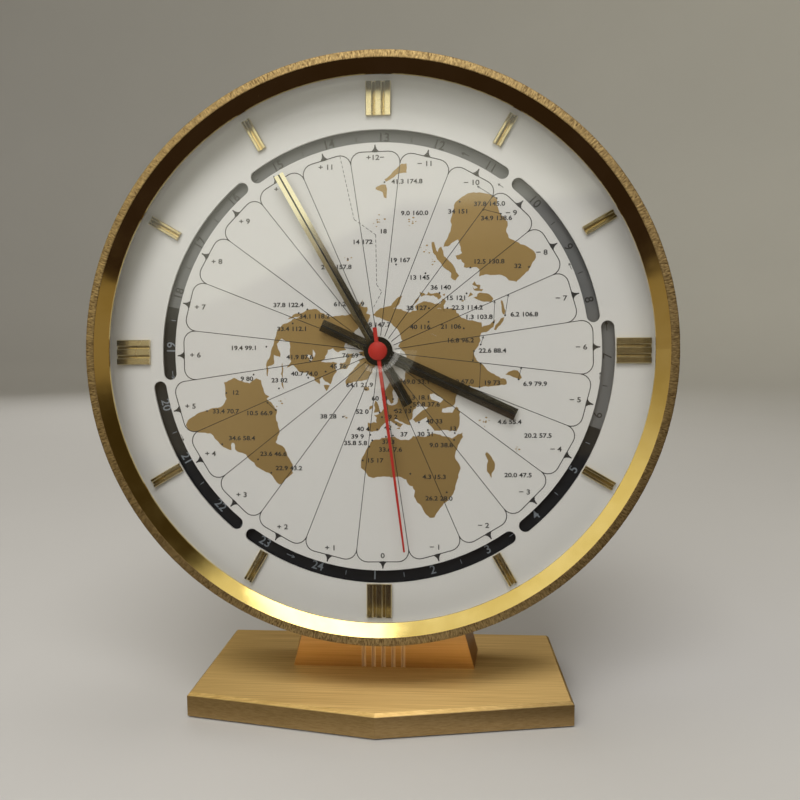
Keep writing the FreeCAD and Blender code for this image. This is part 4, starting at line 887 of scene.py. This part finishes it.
date_line = ((-16.9, 85.2), (-10.7, 57.6), (-1.3, 50.8), (-0.9, 29.1), (1.3, 26.0), (-2.2, 19.4))
date_line_width = 0.24
dash_length = 1.3
gap_length = 0.8
dashes = []
for (across, up), (next_across, next_up) in zip(date_line, date_line[1:]):
    length = math.hypot(next_across - across, next_up - up)
    start = 0.0
    while start < length:
        stop = min(start + dash_length, length)
        dashes.append([(across + (next_across - across) * way / length,
                        up + (next_up - up) * way / length) for way in (start, stop)])
        start += dash_length + gap_length
print_lines("date_line", dashes, date_line_width, line_level, grey_ink)

# Places: a dot for each place that keeps a zone's time, and beside it plain numbers, its
# rounded latitude and longitude. Where a place keeps another zone's time, an arrow leads there.

place_dots = (
    (2.6, 73.5), (-13.5, 40.4), (7.6, 37.8), (20.4, 33.9), (35.2, 64.5), (51.1, 65.8),
    (52.9, 59.1), (39.8, 36.1), (65.0, 36.1), (26.5, 25.3), (38.2, 25.0), (21.9, 18.7),
    (29.9, 18.7), (49.9, 12.4), (54.8, 15.4), (21.7, 12.8), (37.0, 9.9), (44.3, 2.8), (41.4, 0.0),
    (43.8, -15.6), (39.3, -15.1), (60.6, -12.3), (9.7, -13.3), (-7.9, -1.3), (-23.5, -8.7),
    (-5.7, -16.6), (-30.4, -4.0), (-31.2, -11.4), (-31.5, 18.6), (-35.3, 17.0), (-38.0, 12.5),
    (-49.8, 2.3), (-55.6, -10.0), (-44.3, -16.1), (-67.9, -18.1), (-76.6, -26.1), (-45.7, -25.6),
    (-69.9, -40.8), (-53.8, -47.5), (-47.9, -53.4), (-15.9, -28.6), (6.2, -20.8), (14.0, -24.3),
    (0.3, -26.7), (6.8, -25.8), (1.3, -28.7), (-0.8, -34.1), (7.5, -31.8), (-3.8, -36.5),
    (6.1, -36.7), (21.4, -34.3), (33.1, -35.6), (17.5, -31.0), (-3.0, -38.9), (3.0, -37.3),
    (-4.3, -41.7), (32.8, -38.6), (-7.2, -47.7), (13.7, -53.5), (29.6, -61.5))
place_numbers = (
    ("41.3 174.8", 12.4, 73.6), ("9.0 160.0", 15.7, 59.9), ("18", 2.0, 52.2),
    ("14 172", -7.1, 47.7), ("21.3 157.8", -18.6, 36.9), ("19 167", 9.3, 39.6),
    ("13 145", 17.8, 32.0), ("34 151", 34.6, 60.3), ("37.8 145.0", 48.0, 63.4),
    ("34.9 138.6", 51.0, 57.2), ("12.5 130.8", 47.8, 38.6), ("32", 60.2, 36.5),
    ("36 140", 27.0, 27.6), ("15 121", 33.7, 23.0), ("38 127", 16.5, 18.8),
    ("22.3 114.2", 38.5, 18.8), ("1.3 103.8", 43.5, 14.7), ("6.2 106.8", 63.0, 15.7),
    ("40 116", 18.1, 10.5), ("21 106", 31.4, 10.6), ("16.8 96.2", 35.5, 4.6),
    ("22.6 88.4", 49.4, 0.1), ("19 73", 49.2, -13.8), ("24.9 67.0", 35.4, -13.3),
    ("6.9 79.9", 67.7, -14.3), ("69.0 33.1", 16.4, -13.3), ("76 69", -12.6, -1.8),
    ("45 76", -17.9, -6.5), ("64.1 21.9", -8.5, -14.7), ("64.8 147.7", -1.7, 11.6),
    ("61.2 149.9", -13.1, 20.7), ("41.9 87.6", -34.9, -2.4), ("40.7 74.0", -32.9, -9.7),
    ("37.8 122.4", -39.9, 20.5), ("34.1 118.2", -28.3, 15.4), ("33.4 112.1", -38.3, 10.0),
    ("19.4 99.1", -59.9, 1.7), ("9 80", -58.6, -11.9), ("23 82", -44.0, -12.6),
    ("12", -63.8, -18.0), ("33.4 70.7", -68.2, -26.3), ("10.5 66.9", -53.1, -27.1),
    ("34.6 58.4", -61.0, -38.2), ("23.6 46.6", -46.9, -45.1), ("22.9 43.2", -40.0, -51.4),
    ("38 28", -22.4, -28.5), ("60 11", 0.4, -20.6), ("59.3 18.1", 16.4, -20.2),
    ("55.8 37.6", 20.7, -23.2), ("52 0", -7.4, -26.4), ("52 13", 10.6, -26.1),
    ("49 2", 5.3, -28.7), ("40 4", -7.0, -34.0), ("42", 3.8, -33.4), ("39 9", -9.5, -37.3),
    ("37", 10.9, -36.3), ("30 31", 20.4, -36.2), ("13", 32.3, -33.8), ("40 33", 24.2, -30.6),
    ("35.8 5.8", -10.4, -40.2), ("37 3", 4.1, -39.6), ("33.6 7.6", 5.0, -43.0),
    ("9.0 38.8", 27.2, -41.0), ("15 17", -1.8, -47.8), ("4.3 15.3", 24.2, -54.9),
    ("26.2 28.0", 26.2, -64.3), ("20.0 47.5", 60.5, -53.9), ("20.2 57.5", 69.0, -36.7),
    ("4.6 55.4", 56.8, -30.8))
dot_radius = 0.42
place_number_height = 1.95
dots = [[(across + dot_radius * math.cos(math.radians(45 * corner)),
          up + dot_radius * math.sin(math.radians(45 * corner))) for corner in range(8)]
        for across, up in place_dots]
print_shapes("place_dots", dots, mark_level, black_ink)
print_numbers("place_numbers", [(*label, 0.0) for label in place_numbers], place_number_height,
              mark_level, black_ink, widen=1.2, weight=0.06)

# Arrows: thin black ones from places that keep another zone's time to that zone, and four small
# ones beside the windows that show which way the zones run.

shift_arrows = (
    ((51.1, 65.8), (42.8, 71.1)), ((52.9, 59.1), (44.9, 61.2)), ((49.9, 12.4), (50.3, 21.6)),
    ((54.8, 15.4), (56.2, 24.4)), ((44.3, 2.9), (45.5, 6.4)), ((41.4, 0.2), (40.9, -4.5)),
    ((43.8, -15.6), (44.3, -5.0)), ((60.4, -12.5), (61.9, -7.0)), ((-45.8, -25.7), (-49.8, -22.0)))
arrow_width = 0.22
drift_places = ((88.6, 36.6), (90.15, 66.3), (95.95, 96.5), (95.75, 246.7))


def arrow(start, stop, barb=0.9):
    """Shaft and two barbs of an arrow between two places."""
    across, up = stop[0] - start[0], stop[1] - start[1]
    length = math.hypot(across, up)
    along = (across / length * barb, up / length * barb)
    back = (stop[0] - along[0], stop[1] - along[1])
    barbs = [[stop, (back[0] + side * along[1] * 0.5, back[1] - side * along[0] * 0.5)]
             for side in (-1, 1)]
    return [[start, stop]] + barbs


arrows = []
for start, stop in shift_arrows:
    arrows += arrow(start, stop)
for radius, turn in drift_places:
    arrows += arrow(polar(radius, turn + 0.9), polar(radius, turn - 0.9))
print_lines("drift_arrows", arrows, arrow_width, line_level, black_ink)


# Hour markers: polished brass bars glued to the dial, four wide ones with two grooves and
# eight slim ones with one. The slopes of the grooves mirror the light.

marker_brass = polished("polished_brass_markers", (0.74, 0.62, 0.36, 1), (0.84, 0.72, 0.46, 1),
                        0.24, 0.30, dial_place)
dress(marker_brass, "wide_markers", "slim_markers")


# Hour ring: a thin disc that turns behind the windows, light grey for the day (painted darker here
# as shade) and black for the night, with two circles of numbers, one for each height of window.

ring_level = -2.98
ring_tone, pen = new_finish("hour_ring_print")
across, up = (along_axis(pen, axis, dial_place) for axis in "XY")
night_from, night_to = 109.5, 282.3
night_middle = math.radians((night_from + night_to) / 2)
night_reach = math.cos(math.radians((night_to - night_from) / 2))
reach = (across * across + up * up) ** 0.5
towards = (across * math.sin(night_middle) + up * math.cos(night_middle)) / reach
night = (towards - night_reach).step(-0.002, 0.002)
specks = grain(pen, laid_on(pen), 1500.0, 2.0)
# Painted shade: the day half is a dark grey, much darker than the ring's own light grey, standing
# for the dial's shadow over the windows.
surface(pen, night.mix((0.15, 0.152, 0.155, 1), (0.011, 0.012, 0.015, 1)), 0.38 + 0.1 * specks,
        0.0, specks, 0.004 * mm)
dress(ring_tone, "hour_ring")

night_ink = speckled("night_numbers", (0.20, 0.23, 0.27, 1), (0.28, 0.31, 0.35, 1), 0.5, 0.004,
                     2500.0)
inner_track, outer_track = 93.6, 99.2
number_height = 3.9
tick_half = 1.0
tick_width = 0.34
thirteen_turn = 1.3
arrow_hours = range(3, 24, 4)
ring_numbers = {"day": [], "night": []}
ring_marks = {"day": [], "night": []}
for hour in range(1, 25):
    for track, flip in ((inner_track, 0.0), (outer_track, 180.0)):
        half = "day" if 6 <= hour <= 18 else "night"
        turn = thirteen_turn - zone_step * (hour - 13)
        ring_numbers[half].append((str(hour), *polar(track, turn), turn + flip))
        half = "day" if 6 <= hour < 18 else "night"
        middle = turn - zone_step / 2
        if hour in arrow_hours:
            ring_marks[half] += arrow(polar(track, middle + 1.1), polar(track, middle - 1.1), 1.2)
        else:
            ring_marks[half].append([polar(track - tick_half, middle),
                                     polar(track + tick_half, middle)])
for half, ink in (("day", black_ink), ("night", night_ink)):
    print_numbers("ring_numbers_" + half, ring_numbers[half], number_height, ring_level, ink,
                  "hour_disc", weight=0.05)
    print_lines("ring_marks_" + half, ring_marks[half], tick_width, ring_level, ink,
                "hour_disc")


# Hands: flat brass bars, mirror-polished, with a dark line sunk along the middle, pressed on
# their arbors. The second hand is a thin red needle under a round red button.

slot_half = 0.33
hub_radius = 5.5
hour_hand_turn = 114.9
minute_hand_turn = 330.6


def hand_brass(name, turn):
    """Polished brass with a black-filled slot along a hand that points so far clockwise."""
    along = dial_place @ Matrix.Rotation(-math.radians(turn), 4, "Z")
    material, pen = new_finish(name)
    across, length = (abs(along_axis(pen, axis, along)) for axis in "XY")
    metal = across.step(slot_half * mm, (slot_half + 0.04) * mm)
    metal = 1 - (1 - metal) * length.step(hub_radius * mm, (hub_radius + 0.1) * mm)
    smudge = grain(pen, laid_on(pen, along, (900.0, 30.0, 900.0)), 1.0, 3.0)
    brass = smudge.mix((0.80, 0.73, 0.54, 1), (0.88, 0.82, 0.64, 1))
    surface(pen, metal.mix((0.012, 0.010, 0.009, 1), brass), 0.55 - 0.47 * metal, metal, smudge,
            0.003 * mm)
    return material


dress(hand_brass("hour_hand_brass", hour_hand_turn), "hour_hand")
dress(hand_brass("minute_hand_brass", minute_hand_turn), "minute_hand")

red = speckled("red_lacquer", (0.42, 0.026, 0.018, 1), (0.50, 0.036, 0.024, 1), 0.55, 0.01,
               1100.0, Specular_IOR_Level=0.3)
dress(red, "second_hand", "hand_cap")


# Wheels, pinions, pillars and bridges of the movement: cut and turned from brass, with fine
# turning marks. The wheels sit on their arbors, and the bridges are held by the pillars.

wheel_brass = brushed("wheel_brass", (0.60, 0.44, 0.18, 1), (0.78, 0.60, 0.28, 1),
                      (700.0, 60.0, 700.0), 0.22, 0.36)
dress(wheel_brass, "carrier_posts", "stack_pillars", "ring_bridge", "bridge_posts", "ring_wheel",
      "transfer_wheel", "transfer_pinion", "hour_pinion", "hour_wheel", "cannon_pinion",
      "minute_wheel", "second_arbor", "step_wheel", "train_bridge", "train_plate",
      "train_pillars", "setting_pinion")

# Springs and the quartz can: nickel-plated steel, bent or drawn to shape. The contacts press
# on the cell's ends, and the clip holds the ring's wheel on its bush.

spring_steel = brushed("spring_steel", (0.56, 0.56, 0.57, 1), (0.74, 0.74, 0.75, 1),
                       (300.0, 900.0, 300.0), 0.16, 0.28)
dress(spring_steel, "ring_clip", "quartz_can", "spring_contact", "strip_contact")

# Drive motor: a sintered magnet pressed on the rotor pinion, and a bobbin wound with fine
# enamelled copper wire on the stator's core.

magnet = speckled("sintered_magnet", (0.05, 0.05, 0.052, 1), (0.12, 0.12, 0.125, 1), 0.55, 0.02,
                  4000.0, 3.0, 0.7, metallic=0.3)
dress(magnet, "rotor_magnet")

winding, pen = new_finish("copper_winding")
turns = pen.node("TexWave", {"bands_direction": "X"},
                 {"Vector": laid_on(pen), "Scale": 1100.0, "Distortion": 0.4})
surface(pen, turns.mix((0.30, 0.09, 0.03, 1), (0.72, 0.32, 0.14, 1)), 0.32, 0.9, turns, 0.05 * mm)
dress(winding, "drive_coil")


# Moulded housing of the movement, the battery hatch and the setting knob: black
# polystyrene with the fine spark texture of its mould.

moulding, pen = new_finish("black_moulding")
spark = grain(pen, laid_on(pen), 2200.0, 3.0, 0.65)
cloud = grain(pen, laid_on(pen), 60.0, 2.0)
surface(pen, cloud.mix((0.014, 0.014, 0.015, 1), (0.026, 0.026, 0.027, 1)), 0.40 + 0.2 * spark,
        0.0, spark, 0.04 * mm)
dress(moulding, "movement_housing", "battery_hatch", "setting_knob", "rotor_pinion")

# Circuit board: glass-fibre board with green solder resist over copper tracks, fixed in the
# movement's housing. A chip under black resin is soldered on it.

board, pen = new_finish("circuit_board")
tracks = pen.node("TexBrick", {}, {"Vector": laid_on(pen, dial_place), "Scale": 260.0,
                                   "Mortar Size": 0.05}, "Fac")
surface(pen, tracks.mix((0.012, 0.10, 0.035, 1), (0.05, 0.20, 0.07, 1)), 0.34, 0.0, tracks,
        0.03 * mm)
dress(board, "circuit_board")

resin = speckled("chip_resin", (0.008, 0.008, 0.009, 1), (0.020, 0.020, 0.021, 1), 0.22, 0.02,
                 1800.0, 3.0)
dress(resin, "control_chip")

# Battery: a steel cell in a plain dark jacket with a lighter band at the nub end, and no
# print. It lies crosswise in its bay, between the two contacts.

band_start = 14.0
jacket, pen = new_finish("battery_jacket")
band = along_axis(pen, "X").step(band_start * mm, (band_start + 0.5) * mm)
specks = grain(pen, laid_on(pen), 900.0, 2.0)
surface(pen, band.mix((0.030, 0.032, 0.036, 1), (0.50, 0.36, 0.14, 1)), 0.26 + 0.06 * specks,
        0.2 + 0.7 * band, specks, 0.006 * mm)
dress(jacket, "battery")


# Back cover: a pressed steel disc in gold-bronze paint, screwed on, with the battery
# opening, the hatch's hinge lugs and the hole of the setting shaft.

paint, pen = new_finish("bronze_paint")
flakes = grain(pen, laid_on(pen), 3500.0, 2.0, 0.7)
orange_peel = grain(pen, laid_on(pen), 500.0, 2.0)
cloud = grain(pen, laid_on(pen), 20.0, 3.0)
surface(pen, (0.5 * flakes + 0.5 * cloud).mix((0.36, 0.25, 0.11, 1), (0.52, 0.39, 0.19, 1)),
        0.40 + 0.08 * cloud, 0.55, orange_peel, 0.02 * mm)
dress(paint, "back_cover")
